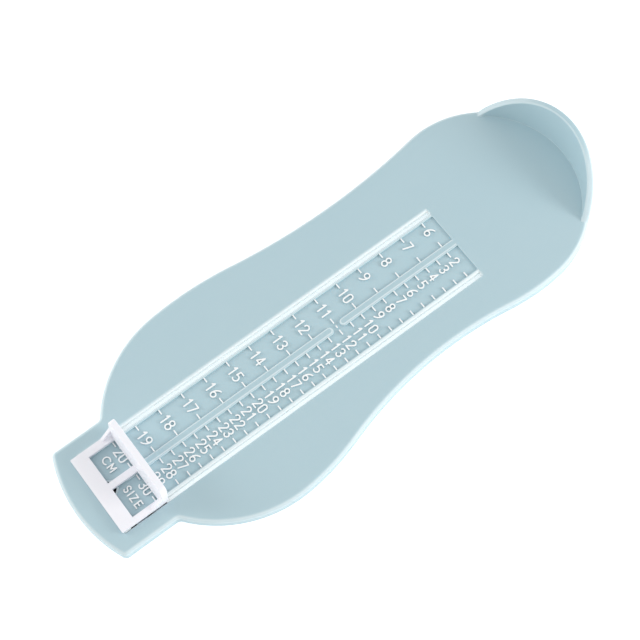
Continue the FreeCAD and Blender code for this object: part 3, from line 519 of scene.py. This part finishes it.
def bend(
    inset: Measure, height: Measure, radius: Measure, start: float, stop: float, steps: int
) -> Array:
    """Give the points of a rounding in a profile: centre plus radius times (cos a, sin a).

    Args:
        inset: The centre's inset, one value or one for each point of a loop.
        height: The centre's height.
        radius: The radius.
        start: The first angle in degrees; 0 points inwards and 90 up.
        stop: The last angle.
        steps: Steps between them.

    Returns:
        Pairs of inset and height, (..., steps + 1, 2).
    """
    angles = np.radians(np.linspace(start, stop, steps + 1))
    across, up, reach = (np.asarray(value, float)[..., None] for value in (inset, height, radius))
    return np.stack([across + reach * np.cos(angles), up + reach * np.sin(angles)], axis=-1)


# ---------------------------------------------------------------- materials


def linear(colour: str) -> tuple[float, float, float, float]:
    """Turn an sRGB colour into a linear one, by the sRGB standard's curve.

    Args:
        colour: The colour as "#RRGGBB".

    Returns:
        Linear red, green and blue, and an alpha of one.
    """
    channels = np.array([int(colour[i : i + 2], 16) for i in (1, 3, 5)]) / 255.0
    low = channels / 12.92
    high = ((channels + 0.055) / 1.055) ** 2.4
    return (*np.where(channels <= 0.04045, low, high).tolist(), 1.0)


def add_node(tree: NodeTree, kind: str, inputs: Optional[dict] = None, **settings: Any) -> Node:
    """Add a node with its settings, its values and its links.

    Args:
        tree: The material's node tree.
        kind: The node's type without "ShaderNode".
        inputs: Socket name or number to a value, or to a pair of node and output name.
        **settings: The node's own properties.

    Returns:
        The node.
    """
    node = tree.nodes.new("ShaderNode" + kind)
    for key, value in settings.items():
        setattr(node, key, value)
    for key, value in (inputs or {}).items():
        if isinstance(value, tuple) and isinstance(value[0], Node):
            tree.links.new(value[0].outputs[value[1]], node.inputs[key])
        else:
            node.inputs[key].default_value = value
    return node


def new_material(name: str) -> tuple[Material, NodeTree]:
    """Add an empty node material.

    Args:
        name: The material's name.

    Returns:
        The material and its node tree.
    """
    material = bpy.data.materials.new(name)
    material.use_nodes = True
    material.node_tree.nodes.clear()
    return material, material.node_tree


@dataclass(frozen=True)
class PaintedEdgeLight:
    """Painted highlights and painted light in the plastic's colour, along the slots, the rib's edge,
    the rim of the hole and every rounded edge.

    There the moulding is thin or turns over an edge, and the colour is lightened to stand for the
    light that comes through it from the side and for the highlights on its roundings; the slots'
    walls are painted full white. Each pair of numbers gives where the painted light starts and where
    it is full, in millimetres, or as the height of the surface's normal where it goes by how the
    surface turns. A lean moves a band to one side, because the light comes from there.
    """

    # The colour of the painted highlights and painted light.
    colour: str = "#FAFFFF"
    heel_end: tuple[float, float] = (54.975, 55.225)
    toe_end: tuple[float, float] = (213.125, 212.875)
    slot_share: float = 0.6
    slot_lean: float = 0.5
    slot_inner: tuple[float, float] = (14.225, 14.475)
    slot_outer: tuple[float, float] = (17.3, 16.1)
    slot_wall: tuple[float, float] = (4.95, 4.55)
    land_inner: tuple[float, float] = (13.775, 14.025)
    land_outer: tuple[float, float] = (14.425, 14.175)
    rib_share: float = 0.45
    rib_lean: float = 0.25
    rib_inner: tuple[float, float] = (0.725, 0.975)
    rib_outer: tuple[float, float] = (1.525, 1.275)
    rib_foot: tuple[float, float] = (4.375, 4.625)
    rib_end: tuple[float, float] = (205.325, 205.075)
    rib_gap_middle: float = 110.0
    rib_tip_centre: float = 3.26
    edge_share: float = 0.3
    edge_steep: tuple[float, float] = (0.1, 0.2)
    edge_level: tuple[float, float] = (0.995, 0.865)
    rim_share: float = 0.4
    rim_turn: tuple[float, float] = (0.375, 0.625)
    rim_foot: tuple[float, float] = (4.35, 4.45)
    rim_top: tuple[float, float] = (4.75, 4.65)

    def share_nodes(self, tree: NodeTree, place: Node) -> Node:
        """Work out how much painted light goes into the plastic's colour.

        A band's painted light is its share times a smooth step for each of its pairs, and the
        brightest band counts. The distance from the centre line is |y + lean|. That from the rib's
        middle line is the length of (min(|x - gap's middle| - tip's centre, 0), |y + lean|), which
        also follows the rib's round tips at its gap.

        Args:
            tree: The material's node tree.
            place: The Texture Coordinate node.

        Returns:
            The node whose output Value is the share of the painted light's colour.
        """
        datum = tuple(DATUM * MM)
        moved = add_node(tree, "VectorMath", {0: (place, "Object"), 1: datum}, operation="SUBTRACT")
        in_mm = {0: (moved, "Vector"), "Scale": 1.0 / MM}
        scaled = add_node(tree, "VectorMath", in_mm, operation="SCALE")
        split = add_node(tree, "SeparateXYZ", {"Vector": (scaled, "Vector")})
        along, height = (split, "X"), (split, "Z")
        sides = []
        for lean in (0.0, self.slot_lean, self.rib_lean):
            leant = add_node(tree, "Math", {0: (split, "Y"), 1: lean}, operation="ADD")
            distance = add_node(tree, "Math", {0: (leant, "Value")}, operation="ABSOLUTE")
            sides.append((distance, "Value"))
        side, slot_side, rib_side = sides
        from_gap = add_node(tree, "Math", {0: along, 1: self.rib_gap_middle}, operation="SUBTRACT")
        folded = add_node(tree, "Math", {0: (from_gap, "Value")}, operation="ABSOLUTE")
        past_tip = {0: (folded, "Value"), 1: self.rib_tip_centre}
        from_tip = add_node(tree, "Math", past_tip, operation="SUBTRACT")
        beyond = add_node(tree, "Math", {0: (from_tip, "Value"), 1: 0.0}, operation="MINIMUM")
        offset = add_node(tree, "CombineXYZ", {"X": (beyond, "Value"), "Y": rib_side})
        length = add_node(tree, "VectorMath", {0: (offset, "Vector")}, operation="LENGTH")
        from_rib = (length, "Value")
        surface = add_node(tree, "NewGeometry")
        facing = add_node(tree, "SeparateXYZ", {"Vector": (surface, "Normal")})
        up = (facing, "Z")

        ends = [(along, self.heel_end), (along, self.toe_end)]
        slot = [(slot_side, self.slot_inner), (slot_side, self.slot_outer), *ends]
        land = [(side, self.land_inner), (side, self.land_outer), *ends]
        rib = [(from_rib, self.rib_inner), (from_rib, self.rib_outer), (height, self.rib_foot)]
        rib += [(along, self.heel_end), (along, self.rib_end)]
        rim = [(up, self.rim_turn), (height, self.rim_foot), (height, self.rim_top)]
        # Each band lightens the colour as painted light: the slots' walls to full white, then the
        # slots' lips, the land beside them, the rib's edges, every rounded edge and the hole's rim.
        bands = (
            (1.0, [*slot, (height, self.slot_wall)]),
            (self.slot_share, slot),
            (self.slot_share, land),
            (self.rib_share, rib),
            (self.edge_share, [(up, self.edge_steep), (up, self.edge_level)]),
            (self.rim_share, rim),
        )
        brightest_painted = 0.0
        for share, steps in bands:
            pale = share
            for value, (start, full) in steps:
                ramp = {"Value": value, "From Min": start, "From Max": full}
                step = add_node(tree, "MapRange", ramp, interpolation_type="SMOOTHSTEP")
                both = {0: pale, 1: (step, "Result")}
                pale = (add_node(tree, "Math", both, operation="MULTIPLY"), "Value")
            whole = add_node(tree, "Math", {0: brightest_painted, 1: pale}, operation="MAXIMUM")
            brightest_painted = (whole, "Value")
        return whole


@dataclass(frozen=True)
class MouldedPolystyrene:
    """Injection-moulded polystyrene from a satin-polished mould.

    The eye sees an opaque, even colour with a soft wide sheen and faint pale streaks along the
    gauge, where the melt flowed. A little light goes in and comes out beside an edge, which takes
    the hardness from it. The grain is drawn coarser than the real one, which is too fine to show.
    """

    name: str
    colour: str
    streak_colour: str
    roughness: float = 0.55
    refraction: float = 1.59
    streak_mm: float = 38.0
    streak_stretch: float = 0.35
    streak_range: tuple[float, float] = (0.35, 0.75)
    streak_share: float = 0.35
    sheen_mm: float = 7.0
    sheen_change: float = 0.05
    grain_mm: float = 0.5
    grain_depth_mm: float = 0.003
    depth_share: float = 0.3
    depth_mm: float = 1.5
    depth_tint: Point = (0.9, 1.0, 1.0)
    # Painted highlights and painted light along the edges, mixed into the colour where given.
    painted_edge_light: Optional[PaintedEdgeLight] = None

    def colour_nodes(self, tree: NodeTree, place: Node) -> Node:
        """Mix the plastic's colour with its streaks, and with its painted edge light where it has
        some.

        Args:
            tree: The material's node tree.
            place: The Texture Coordinate node.

        Returns:
            The Mix node, whose output Result is the colour.
        """
        stretch = {"Vector": (place, "Object"), "Scale": (self.streak_stretch, 1.0, 1.0)}
        stretched = add_node(tree, "Mapping", stretch)
        size = 1.0 / (self.streak_mm * MM)
        flow = {"Vector": (stretched, "Vector"), "Scale": size, "Detail": 3.0}
        cloud = add_node(tree, "TexNoise", flow)
        start, full = self.streak_range
        ramp = {"Value": (cloud, "Fac"), "From Min": start, "From Max": full}
        share = add_node(tree, "MapRange", {**ramp, "To Max": self.streak_share})
        colours = {6: linear(self.colour), 7: linear(self.streak_colour)}
        streaked = add_node(tree, "Mix", {0: (share, "Result"), **colours}, data_type="RGBA")
        if self.painted_edge_light is None:
            return streaked
        # Painted highlights and painted light along the edges go into the colour here.
        painted_light_share = self.painted_edge_light.share_nodes(tree, place)
        colours = {6: (streaked, "Result"), 7: linear(self.painted_edge_light.colour)}
        return add_node(tree, "Mix", {0: (painted_light_share, "Value"), **colours}, data_type="RGBA")

    def build(self) -> Material:
        """Build the material.

        Returns:
            The material.
        """
        material, tree = new_material(self.name)
        place = add_node(tree, "TexCoord")
        colour = self.colour_nodes(tree, place)
        spots = {"Vector": (place, "Object"), "Scale": 1.0 / (self.sheen_mm * MM)}
        patches = add_node(tree, "TexNoise", spots)
        low, high = self.roughness - self.sheen_change, self.roughness + self.sheen_change
        sheen = {"Value": (patches, "Fac"), "To Min": low, "To Max": high}
        roughness = add_node(tree, "MapRange", sheen)
        specks = {"Vector": (place, "Object"), "Scale": 1.0 / (self.grain_mm * MM), "Detail": 1.0}
        grain = add_node(tree, "TexNoise", specks)
        relief = {"Height": (grain, "Fac"), "Distance": self.grain_depth_mm * MM, "Strength": 1.0}
        bump = add_node(tree, "Bump", relief)
        shader = add_node(
            tree,
            "BsdfPrincipled",
            {
                "Base Color": (colour, "Result"),
                "Roughness": (roughness, "Result"),
                "Normal": (bump, "Normal"),
                "IOR": self.refraction,
                "Subsurface Weight": self.depth_share,
                "Subsurface Scale": self.depth_mm * MM,
                "Subsurface Radius": self.depth_tint,
            },
        )
        add_node(tree, "OutputMaterial", {"Surface": (shader, "BSDF")})
        return material


@dataclass(frozen=True)
class StampedMark:
    """Raised marks in the plate's plastic whose tops are white hot-stamped foil.

    The eye sees crisp white figures with blue sides, because the hot stamp only touches the tops.
    The foil ends a little below them and has specks where it is thin.
    """

    name: str
    plastic: MouldedPolystyrene
    foil_colour: str = "#FDFFFF"
    foil_edge: float = 4.6
    foil_fade: float = 0.1
    roughness: float = 0.35
    refraction: float = 1.5
    wear_mm: float = 0.6
    wear_range: tuple[float, float] = (0.25, 0.45)
    wear_share: float = 0.06

    def build(self) -> Material:
        """Build the material.

        Returns:
            The material.
        """
        material, tree = new_material(self.name)
        place = add_node(tree, "TexCoord")
        # The sides take the plate plastic's colour, with its painted edge light where its bands
        # reach.
        plastic = self.plastic.colour_nodes(tree, place)
        height = add_node(tree, "SeparateXYZ", {"Vector": (place, "Object")})
        start, full = self.foil_edge * MM, (self.foil_edge + self.foil_fade) * MM
        edge = {"Value": (height, "Z"), "From Min": start, "From Max": full}
        covered = add_node(tree, "MapRange", edge)
        spots = {"Vector": (place, "Object"), "Scale": 1.0 / (self.wear_mm * MM), "Detail": 2.0}
        specks = add_node(tree, "TexNoise", spots)
        thin, whole = self.wear_range
        wear = {"Value": (specks, "Fac"), "From Min": thin, "From Max": whole}
        kept = add_node(tree, "MapRange", {**wear, "To Min": 1.0 - self.wear_share})
        both = {0: (covered, "Result"), 1: (kept, "Result")}
        share = add_node(tree, "Math", both, operation="MULTIPLY")
        colours = {6: (plastic, "Result"), 7: linear(self.foil_colour)}
        colour = add_node(tree, "Mix", {0: (share, "Value"), **colours}, data_type="RGBA")
        finish = {"Roughness": self.roughness, "IOR": self.refraction}
        shader = add_node(tree, "BsdfPrincipled", {"Base Color": (colour, "Result"), **finish})
        add_node(tree, "OutputMaterial", {"Surface": (shader, "BSDF")})
        return material


PLATE_PLASTIC = MouldedPolystyrene(
    "moulded_polystyrene_pale_blue", "#B5CFD7", "#BBD2D9", painted_edge_light=PaintedEdgeLight()
)
SLIDER_PLASTIC = MouldedPolystyrene(
    "moulded_polystyrene_white", "#F7F7FF", "#FAFAFF", roughness=0.45, streak_mm=12.0
)
# The keeper's black is painted shade: it stands for the deep shade seen through the hanging hole.
KEEPER_PAINTED_SHADE = MouldedPolystyrene(
    "keeper_black_as_painted_shade", "#1C1D1F", "#26272A", roughness=0.6, streak_mm=12.0, depth_share=0.0
)
MARK_FOIL = StampedMark("hot_stamped_white_foil_on_polystyrene", PLATE_PLASTIC)


def dress(piece: Object, material: Material, body: Body) -> None:
    """Give a piece its material and its body, and report it.

    Args:
        piece: The piece.
        material: Its material.
        body: The body that it moves with.
    """
    piece.data.materials.clear()
    piece.data.materials.append(material)
    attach(piece, body.value)
    log.info("%s rides on %s", piece.name, body.value)


# ---------------------------------------------------------------- foot plate


@dataclass
class FootPlate:
    """The sole-shaped plate with its heel cup, recessed scale floor, slots and ribbed underside."""

    outline: SoleOutline = SoleOutline()
    top: float = 5.0
    underside: float = 3.0
    wall: float = 2.0
    clearance: float = 0.03
    edge_radius: float = 1.9
    foot_radius: float = 0.3
    inner_fillet: float = 0.5
    flat_inset: float = 2.05
    cup_flat_inset: float = 3.7
    cup_rise: float = 18.35
    cup_turn: float = -2.5
    cup_half_sweep: float = 52.6
    cup_fullness: float = 2.05
    cup_taper: float = 0.97
    cup_foot_thickness: float = 2.7
    cup_lean_out: float = 1.19
    cup_lean_in: float = 1.4
    cup_flat_turn: tuple[float, float] = (60.0, 85.0)
    cup_flat_reach: float = 60.0
    rim_outer_round: float = 0.9
    rim_inner_round: float = 0.7
    rim_blend: float = 2.0
    crease_round: float = 0.12
    low_rise_share: float = 0.45
    recess_low: complex = 55.1 - 13.5j
    recess_high: complex = 215.0 + 13.5j
    recess_corner: float = 0.6
    floor: float = 4.2
    slot_start: float = 55.4
    slot_stop: float = 215.0
    slot_inner: float = 14.85
    slot_outer: float = 16.35
    slot_corner: float = 0.4
    slot_lip: tuple[float, float] = (0.8, 1.8)
    lip_round: float = 0.3
    rib_half: float = 1.56
    rib_gap: tuple[float, float] = (108.3, 111.7)
    rib_stop: float = 205.0
    hole_x: float = 210.75
    hole_radius: float = 2.64
    hole_rim: float = 0.8
    hole_rim_rise: float = 0.3
    hole_rim_round: float = 0.1
    under_rib_foot: float = 0.6
    under_rib_corner: float = 0.1
    guide_rib: tuple[float, float] = (18.4, 19.8)
    guide_rib_run: tuple[float, float] = (50.6, 220.0)
    cross_rib: float = 1.2
    cross_rib_places: tuple[float, ...] = (64.0, 98.0, 132.0, 166.0, 192.0)
    heel_rib_place: float = 24.0
    sharp_corner: float = 50.0

    def cup_rise_along(self, loop: Loop) -> Array:
        """Give the cup's height above the plate at each point of the outline.

        The height is rise * (1 - (angle / half sweep) ^ fullness) ^ taper, where angle is that of
        the outline's normal from the middle of the cup, and nothing beyond the half sweep.

        Args:
            loop: The plate's outline.

        Returns:
            One height for each point.
        """
        angle = np.abs(np.degrees(np.angle(-loop.normals)) + self.cup_turn)
        share = np.clip(angle / self.cup_half_sweep, 0.0, 1.0)
        height = self.cup_rise * (1.0 - share**self.cup_fullness) ** self.cup_taper
        return np.where(loop.points.real < self.outline.heel.centre.real, height, 0.0)

    def border_profile(self, loop: Loop) -> Array:
        """Give the profile of the plate's border at each point of the outline.

        It runs from the deck's underside down the inside of the skirt, round its foot, up the
        outside, over the rounded edge or the cup's rim, and down the cup's inside to the deck.

        The rim's outer rounding goes over into the plate's as exp(-rise / rim_blend). The flat part
        of the deck begins further in at the cup than elsewhere, with the smooth step
        3 t^2 - 2 t^3 of the normal's angle between them.

        Args:
            loop: The plate's outline.

        Returns:
            Pairs of inset and height, (points, steps, 2).
        """
        rise = self.cup_rise_along(loop)
        share = rise / self.cup_rise
        rim = self.top + rise
        outer = -self.cup_lean_out * share
        inner = self.cup_foot_thickness - self.cup_lean_in * share
        extra = self.edge_radius - self.rim_outer_round
        outer_round = self.rim_outer_round + extra * np.exp(-rise / self.rim_blend)
        inner_round = np.minimum(self.rim_inner_round, self.low_rise_share * rise)
        crease = np.minimum(self.crease_round, self.low_rise_share * rise)
        foot, fillet = self.foot_radius, self.inner_fillet
        plain, level = np.full_like(rise, self.clearance), np.zeros_like(rise)
        inside, cup_foot = plain + self.wall, plain + self.cup_foot_thickness
        seat = self.top - self.edge_radius
        angle = np.degrees(np.abs(np.angle(-loop.normals)))
        full, none = self.cup_flat_turn
        near_cup = np.clip((none - angle) / (none - full), 0.0, 1.0)
        near_cup = near_cup * (loop.points.real < self.cup_flat_reach)
        near_cup = near_cup * near_cup * (3.0 - 2.0 * near_cup)
        flat = self.flat_inset + (self.cup_flat_inset - self.flat_inset) * near_cup
        profile = np.concatenate(
            [
                bend(inside + fillet, level + self.underside - fillet, fillet, 90, 180, steps=4),
                bend(inside - foot, level + foot, foot, 0, -90, steps=3),
                bend(plain + foot, level + foot, foot, -90, -180, steps=3),
                np.stack([plain, level + seat], axis=-1)[:, None],
                bend(plain + outer + outer_round, rim - outer_round, outer_round, 180, 90, steps=8),
                bend(inner - inner_round, rim - inner_round, inner_round, 90, 0, steps=6),
                bend(cup_foot + crease, self.top + crease, crease, 180, 270, steps=6),
                np.stack([flat, level + self.top], axis=-1)[:, None],
            ],
            axis=1,
        )
        inset = profile[..., 0]
        held = np.minimum(inset, flat[:, None])
        profile[..., 0] = np.where(profile[..., 1] > seat, held, inset)
        return profile

    def opening_band(self, loop: Loop, bottom: float, lip_width: float, lip_depth: float) -> Array:
        """Give the side of an opening from its lip, a quarter of an ellipse, down to a height.

        Args:
            loop: The opening's outline.
            bottom: The height where the side ends.
            lip_width: How wide the lip is in plan.
            lip_depth: How far down the lip reaches.

        Returns:
            The vertices, (points, steps, 3).
        """
        lip = bend(-lip_width, 0.0, lip_width, 90, 0, steps=6)
        lip[:, 1] = self.top - lip_depth + lip[:, 1] * lip_depth / lip_width
        return loop.band(np.concatenate([lip, np.array([[0.0, bottom]])]))

    def raised_band(self, loop: Loop, height: float, rounding: float) -> Array:
        """Give the side of a raised form from the floor to its rounded upper edge.

        Args:
            loop: The form's outline.
            height: The height of its top.
            rounding: The edge's radius.

        Returns:
            The vertices, (points, steps, 3).
        """
        edge = bend(rounding, height - rounding, rounding, 180, 90, steps=4)
        return loop.band(np.concatenate([np.array([[0.0, self.floor]]), edge]))

    def add_hanging_hole(self, shell: Shell) -> tuple[Array, Array]:
        """Add the hanging hole with its raised rim.

        Args:
            shell: The plate's surface.

        Returns:
            Its loop on the recess's floor and its loop on the deck's underside.
        """
        rim_top = self.floor + self.hole_rim_rise
        soft = self.hole_rim_round
        profile = np.concatenate(
            [
                np.array([[0.0, self.floor]]),
                bend(soft, rim_top - soft, soft, 180, 90, steps=3),
                bend(self.hole_rim - soft, rim_top - soft, soft, 90, 0, steps=3),
                np.array([[self.hole_rim, self.underside]]),
            ]
        )
        band = circle(self.hole_x, self.hole_radius + self.hole_rim).band(profile)
        shell.add_band(band)
        return band[:, 0], band[:, -1]

    def slots(self) -> list[Loop]:
        """Give the loops of the two guide slots.

        Returns:
            The loop on the shoe-size side and that on the centimetre side.
        """
        start, stop, corner = self.slot_start, self.slot_stop, self.slot_corner
        inner, outer = 1j * self.slot_inner, 1j * self.slot_outer
        return [
            rounded_rectangle(start + inner, stop + outer, corner),
            rounded_rectangle(start - outer, stop - inner, corner),
        ]

    def build_plate(self) -> Object:
        """Build the plate as one closed surface.

        Returns:
            The plate without its ribs.
        """
        shell = Shell()
        loop = self.outline.loop()
        border = loop.band(self.border_profile(loop))
        shell.add_band(border)
        rectangle = rounded_rectangle(self.recess_low, self.recess_high, self.recess_corner)
        recess_loop = notched_rectangle(rectangle, self.rib_half, self.rib_gap[0])
        recess = self.opening_band(recess_loop, self.floor, self.lip_round, self.lip_round)
        slots = [self.opening_band(slot, self.underside, *self.slot_lip) for slot in self.slots()]
        for band in (recess, *slots):
            shell.add_band(band)
        shell.add_flat(border[:, -1], [recess[:, 0], *(slot[:, 0] for slot in slots)])

        hole_on_floor, hole_below = self.add_hanging_hole(shell)
        rib = self.raised_band(
            stadium(self.rib_gap[1], self.rib_stop, self.rib_half), self.top, self.lip_round
        )
        shell.add_band(rib)
        shell.add_flat(rib[:, -1])
        shell.add_flat(recess[:, -1], [hole_on_floor, rib[:, 0]])
        shell.add_flat(border[:, 0], [hole_below, *(slot[:, -1] for slot in slots)])
        return shell.build("foot_plate_shell")

    def reach(self, loop: Loop, x: float, side: int) -> float:
        """Find the middle of the skirt's wall.

        Args:
            loop: The plate's outline.
            x: The place along the gauge.
            side: 1 on the shoe-size side, or -1.

        Returns:
            Its y.
        """
        on_side = loop.points[loop.points.imag * side > 0.0]
        order = np.argsort(on_side.real)
        edge = np.interp(x, on_side.real[order], on_side.imag[order])
        return float(edge - 0.5 * side * self.wall)

    def build_under_ribs(self) -> Object:
        """Build the ribs under the deck: two long ones, cross ribs to the skirt, and a bridge.

        Returns:
            The ribs as one object of closed bars.
        """
        loop = self.outline.loop()
        half = 0.5 * self.cross_rib
        inner, outer = self.guide_rib
        start, stop = self.guide_rib_run
        rows = [(start, stop, inner, outer), (start, stop, -outer, -inner)]
        for x in self.cross_rib_places:
            rows.append((x - half, x + half, outer - half, self.reach(loop, x, 1)))
            rows.append((x - half, x + half, self.reach(loop, x, -1), half - outer))
        x = self.heel_rib_place
        rows.append((x - half, x + half, self.reach(loop, x, -1), self.reach(loop, x, 1)))
        rows.append((start, start + self.cross_rib, -inner - half, inner + half))
        foot, soft = self.under_rib_foot, self.foot_radius
        side = np.array([[0.0, self.underside + soft]])
        profile = np.concatenate([bend(soft, foot + soft, soft, 270, 180, steps=3), side])
        shell = Shell()
        for x_low, x_high, y_low, y_high in rows:
            corners = complex(x_low, y_low), complex(x_high, y_high)
            band = rounded_rectangle(*corners, self.under_rib_corner, steps=2).band(profile)
            shell.add_band(band)
            shell.add_flat(band[:, 0])
            shell.add_flat(band[:, -1])
        return shell.build("under_ribs")

    def join_ribs(self, piece: Object) -> None:
        """Join the ribs to the plate as one solid moulding.

        Args:
            piece: The plate.
        """
        ribs = self.build_under_ribs()
        union = piece.modifiers.new("ribs", "BOOLEAN")
        union.operation = "UNION"
        union.solver = "EXACT"
        union.use_self = True
        union.object = ribs
        graph = bpy.context.evaluated_depsgraph_get()
        whole = bpy.data.meshes.new_from_object(piece.evaluated_get(graph))
        piece.modifiers.clear()
        piece.data = whole
        bpy.data.objects.remove(ribs)

    def build(self, material: Material) -> None:
        """Build and dress the plate.

        Corners sharper than sharp_corner, as between a rib and the deck, are shaded as corners.

        Args:
            material: The plate's material.
        """
        piece = self.build_plate()
        self.join_ribs(piece)
        finish_edges(piece)
        piece.data.set_sharp_from_angle(angle=math.radians(self.sharp_corner))
        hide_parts("foot_plate")
        dress(piece, material, Body.PLATE)


# ---------------------------------------------------------------- toe stop and marks


@dataclass
class ToeStop:
    """The sliding toe stop and the keeper under the plate."""

    frame_rounding: float = 0.25
    keeper_rounding: float = 0.2

    def build(self, frame_plastic: Material, keeper_plastic: Material) -> None:
        """Build and dress both pieces.

        Args:
            frame_plastic: The frame's material.
            keeper_plastic: The keeper's material, black as painted shade.
        """
        stop = moulded_copy("slider_frame", "toe_stop_frame", self.frame_rounding, segments=3)
        dress(stop, frame_plastic, Body.TOE_STOP)
        keeper = moulded_copy("slider_keeper", "toe_stop_keeper", self.keeper_rounding)
        dress(keeper, keeper_plastic, Body.TOE_STOP)


@dataclass
class RaisedMarks:
    """The raised lines, numerals and labels on the floor of the recess."""

    rounding: float = 0.1
    nodes: tuple[str, ...] = (
        "cm_ticks",
        "cm_numerals",
        "size_ticks",
        "size_numerals",
        "unit_labels",
    )

    def build(self, material: Material) -> None:
        """Build and dress every group of marks.

        Args:
            material: The marks' material.
        """
        for node in self.nodes:
            piece = moulded_copy(node, "raised_" + node, self.rounding)
            dress(piece, material, Body.PLATE)


# ---------------------------------------------------------------- studio


@dataclass(frozen=True)
class Softbox:
    """A square area light that faces the gauge from one side."""

    name: str
    azimuth: float
    elevation: float
    power: float
    size: float = 0.35
    distance: float = 0.9

    def build(self) -> None:
        """Add the light."""
        across = self.distance * math.cos(math.radians(self.elevation))
        turn = math.radians(self.azimuth)
        height = self.distance * math.sin(math.radians(self.elevation))
        place = Vector((across * math.cos(turn), across * math.sin(turn), height))
        light = bpy.data.lights.new(self.name, "AREA")
        light.size = self.size
        light.energy = self.power
        lamp = bpy.data.objects.new(self.name, light)
        facing = (-place).to_track_quat("-Z", "Y").to_matrix().to_4x4()
        lamp.matrix_world = Matrix.Translation(place) @ facing
        bpy.context.scene.collection.objects.link(lamp)


@dataclass(frozen=True)
class Studio:
    """A glowing white table, soft light all round and two low softboxes."""

    table_size: float = 2.4
    table_glow: float = 0.48
    sky_strength: float = 0.725
    softboxes: tuple[Softbox, ...] = (
        Softbox("heel_softbox", azimuth=135.0, elevation=22.0, power=3.8),
        Softbox("toe_softbox", azimuth=315.0, elevation=22.0, power=2.3),
    )
    camera_place: Point = (0.12174, 0.18827, 0.57625)
    camera_aim: Point = (0.00179, -0.00635, 0.0)
    camera_roll: float = -5.605
    lens: float = 94.72

    def build_table(self) -> None:
        """Add the table: opal acrylic lit from below, an even white without a visible edge."""
        half = 0.5 * self.table_size
        corners = [(-half, -half, 0.0), (half, -half, 0.0), (half, half, 0.0), (-half, half, 0.0)]
        mesh = bpy.data.meshes.new("light_table")
        mesh.from_pydata(corners, [], [(0, 1, 2, 3)])
        table = add_object("light_table", mesh)
        material, tree = new_material("opal_acrylic_lit_from_below")
        shader = add_node(
            tree,
            "BsdfPrincipled",
            {
                "Base Color": linear("#F6F6F6"),
                "Roughness": 0.9,
                "Emission Color": linear("#FFFFFF"),
                "Emission Strength": self.table_glow,
            },
        )
        add_node(tree, "OutputMaterial", {"Surface": (shader, "BSDF")})
        mesh.materials.append(material)

    def build_light(self) -> None:
        """Add the white surroundings and the softboxes."""
        scene = bpy.context.scene
        world = bpy.data.worlds.new("white_room")
        world.use_nodes = True
        background = world.node_tree.nodes["Background"]
        background.inputs["Color"].default_value = linear("#FFFFFF")
        background.inputs["Strength"].default_value = self.sky_strength
        scene.world = world
        for softbox in self.softboxes:
            softbox.build()
        scene.view_settings.view_transform = "Standard"

    def build_camera(self) -> None:
        """Add the camera."""
        camera = bpy.data.cameras.new("camera")
        camera.lens = self.lens
        camera.clip_start = 0.01
        holder = bpy.data.objects.new("camera", camera)
        place = Vector(self.camera_place)
        turn = (Vector(self.camera_aim) - place).to_track_quat("-Z", "Y").to_matrix().to_4x4()
        roll = Matrix.Rotation(math.radians(self.camera_roll), 4, "Z")
        holder.matrix_world = Matrix.Translation(place) @ turn @ roll
        bpy.context.scene.collection.objects.link(holder)
        bpy.context.scene.camera = holder

    def build(self) -> None:
        """Build the whole studio."""
        self.build_table()
        self.build_light()
        self.build_camera()


def main() -> None:
    """Build the gauge and the studio, in order."""
    logging.basicConfig(level=logging.INFO, format="%(name)s: %(message)s")
    FootPlate().build(PLATE_PLASTIC.build())
    ToeStop().build(SLIDER_PLASTIC.build(), KEEPER_PAINTED_SHADE.build())
    RaisedMarks().build(MARK_FOIL.build())
    Studio().build()


if __name__ == "__main__":
    main()
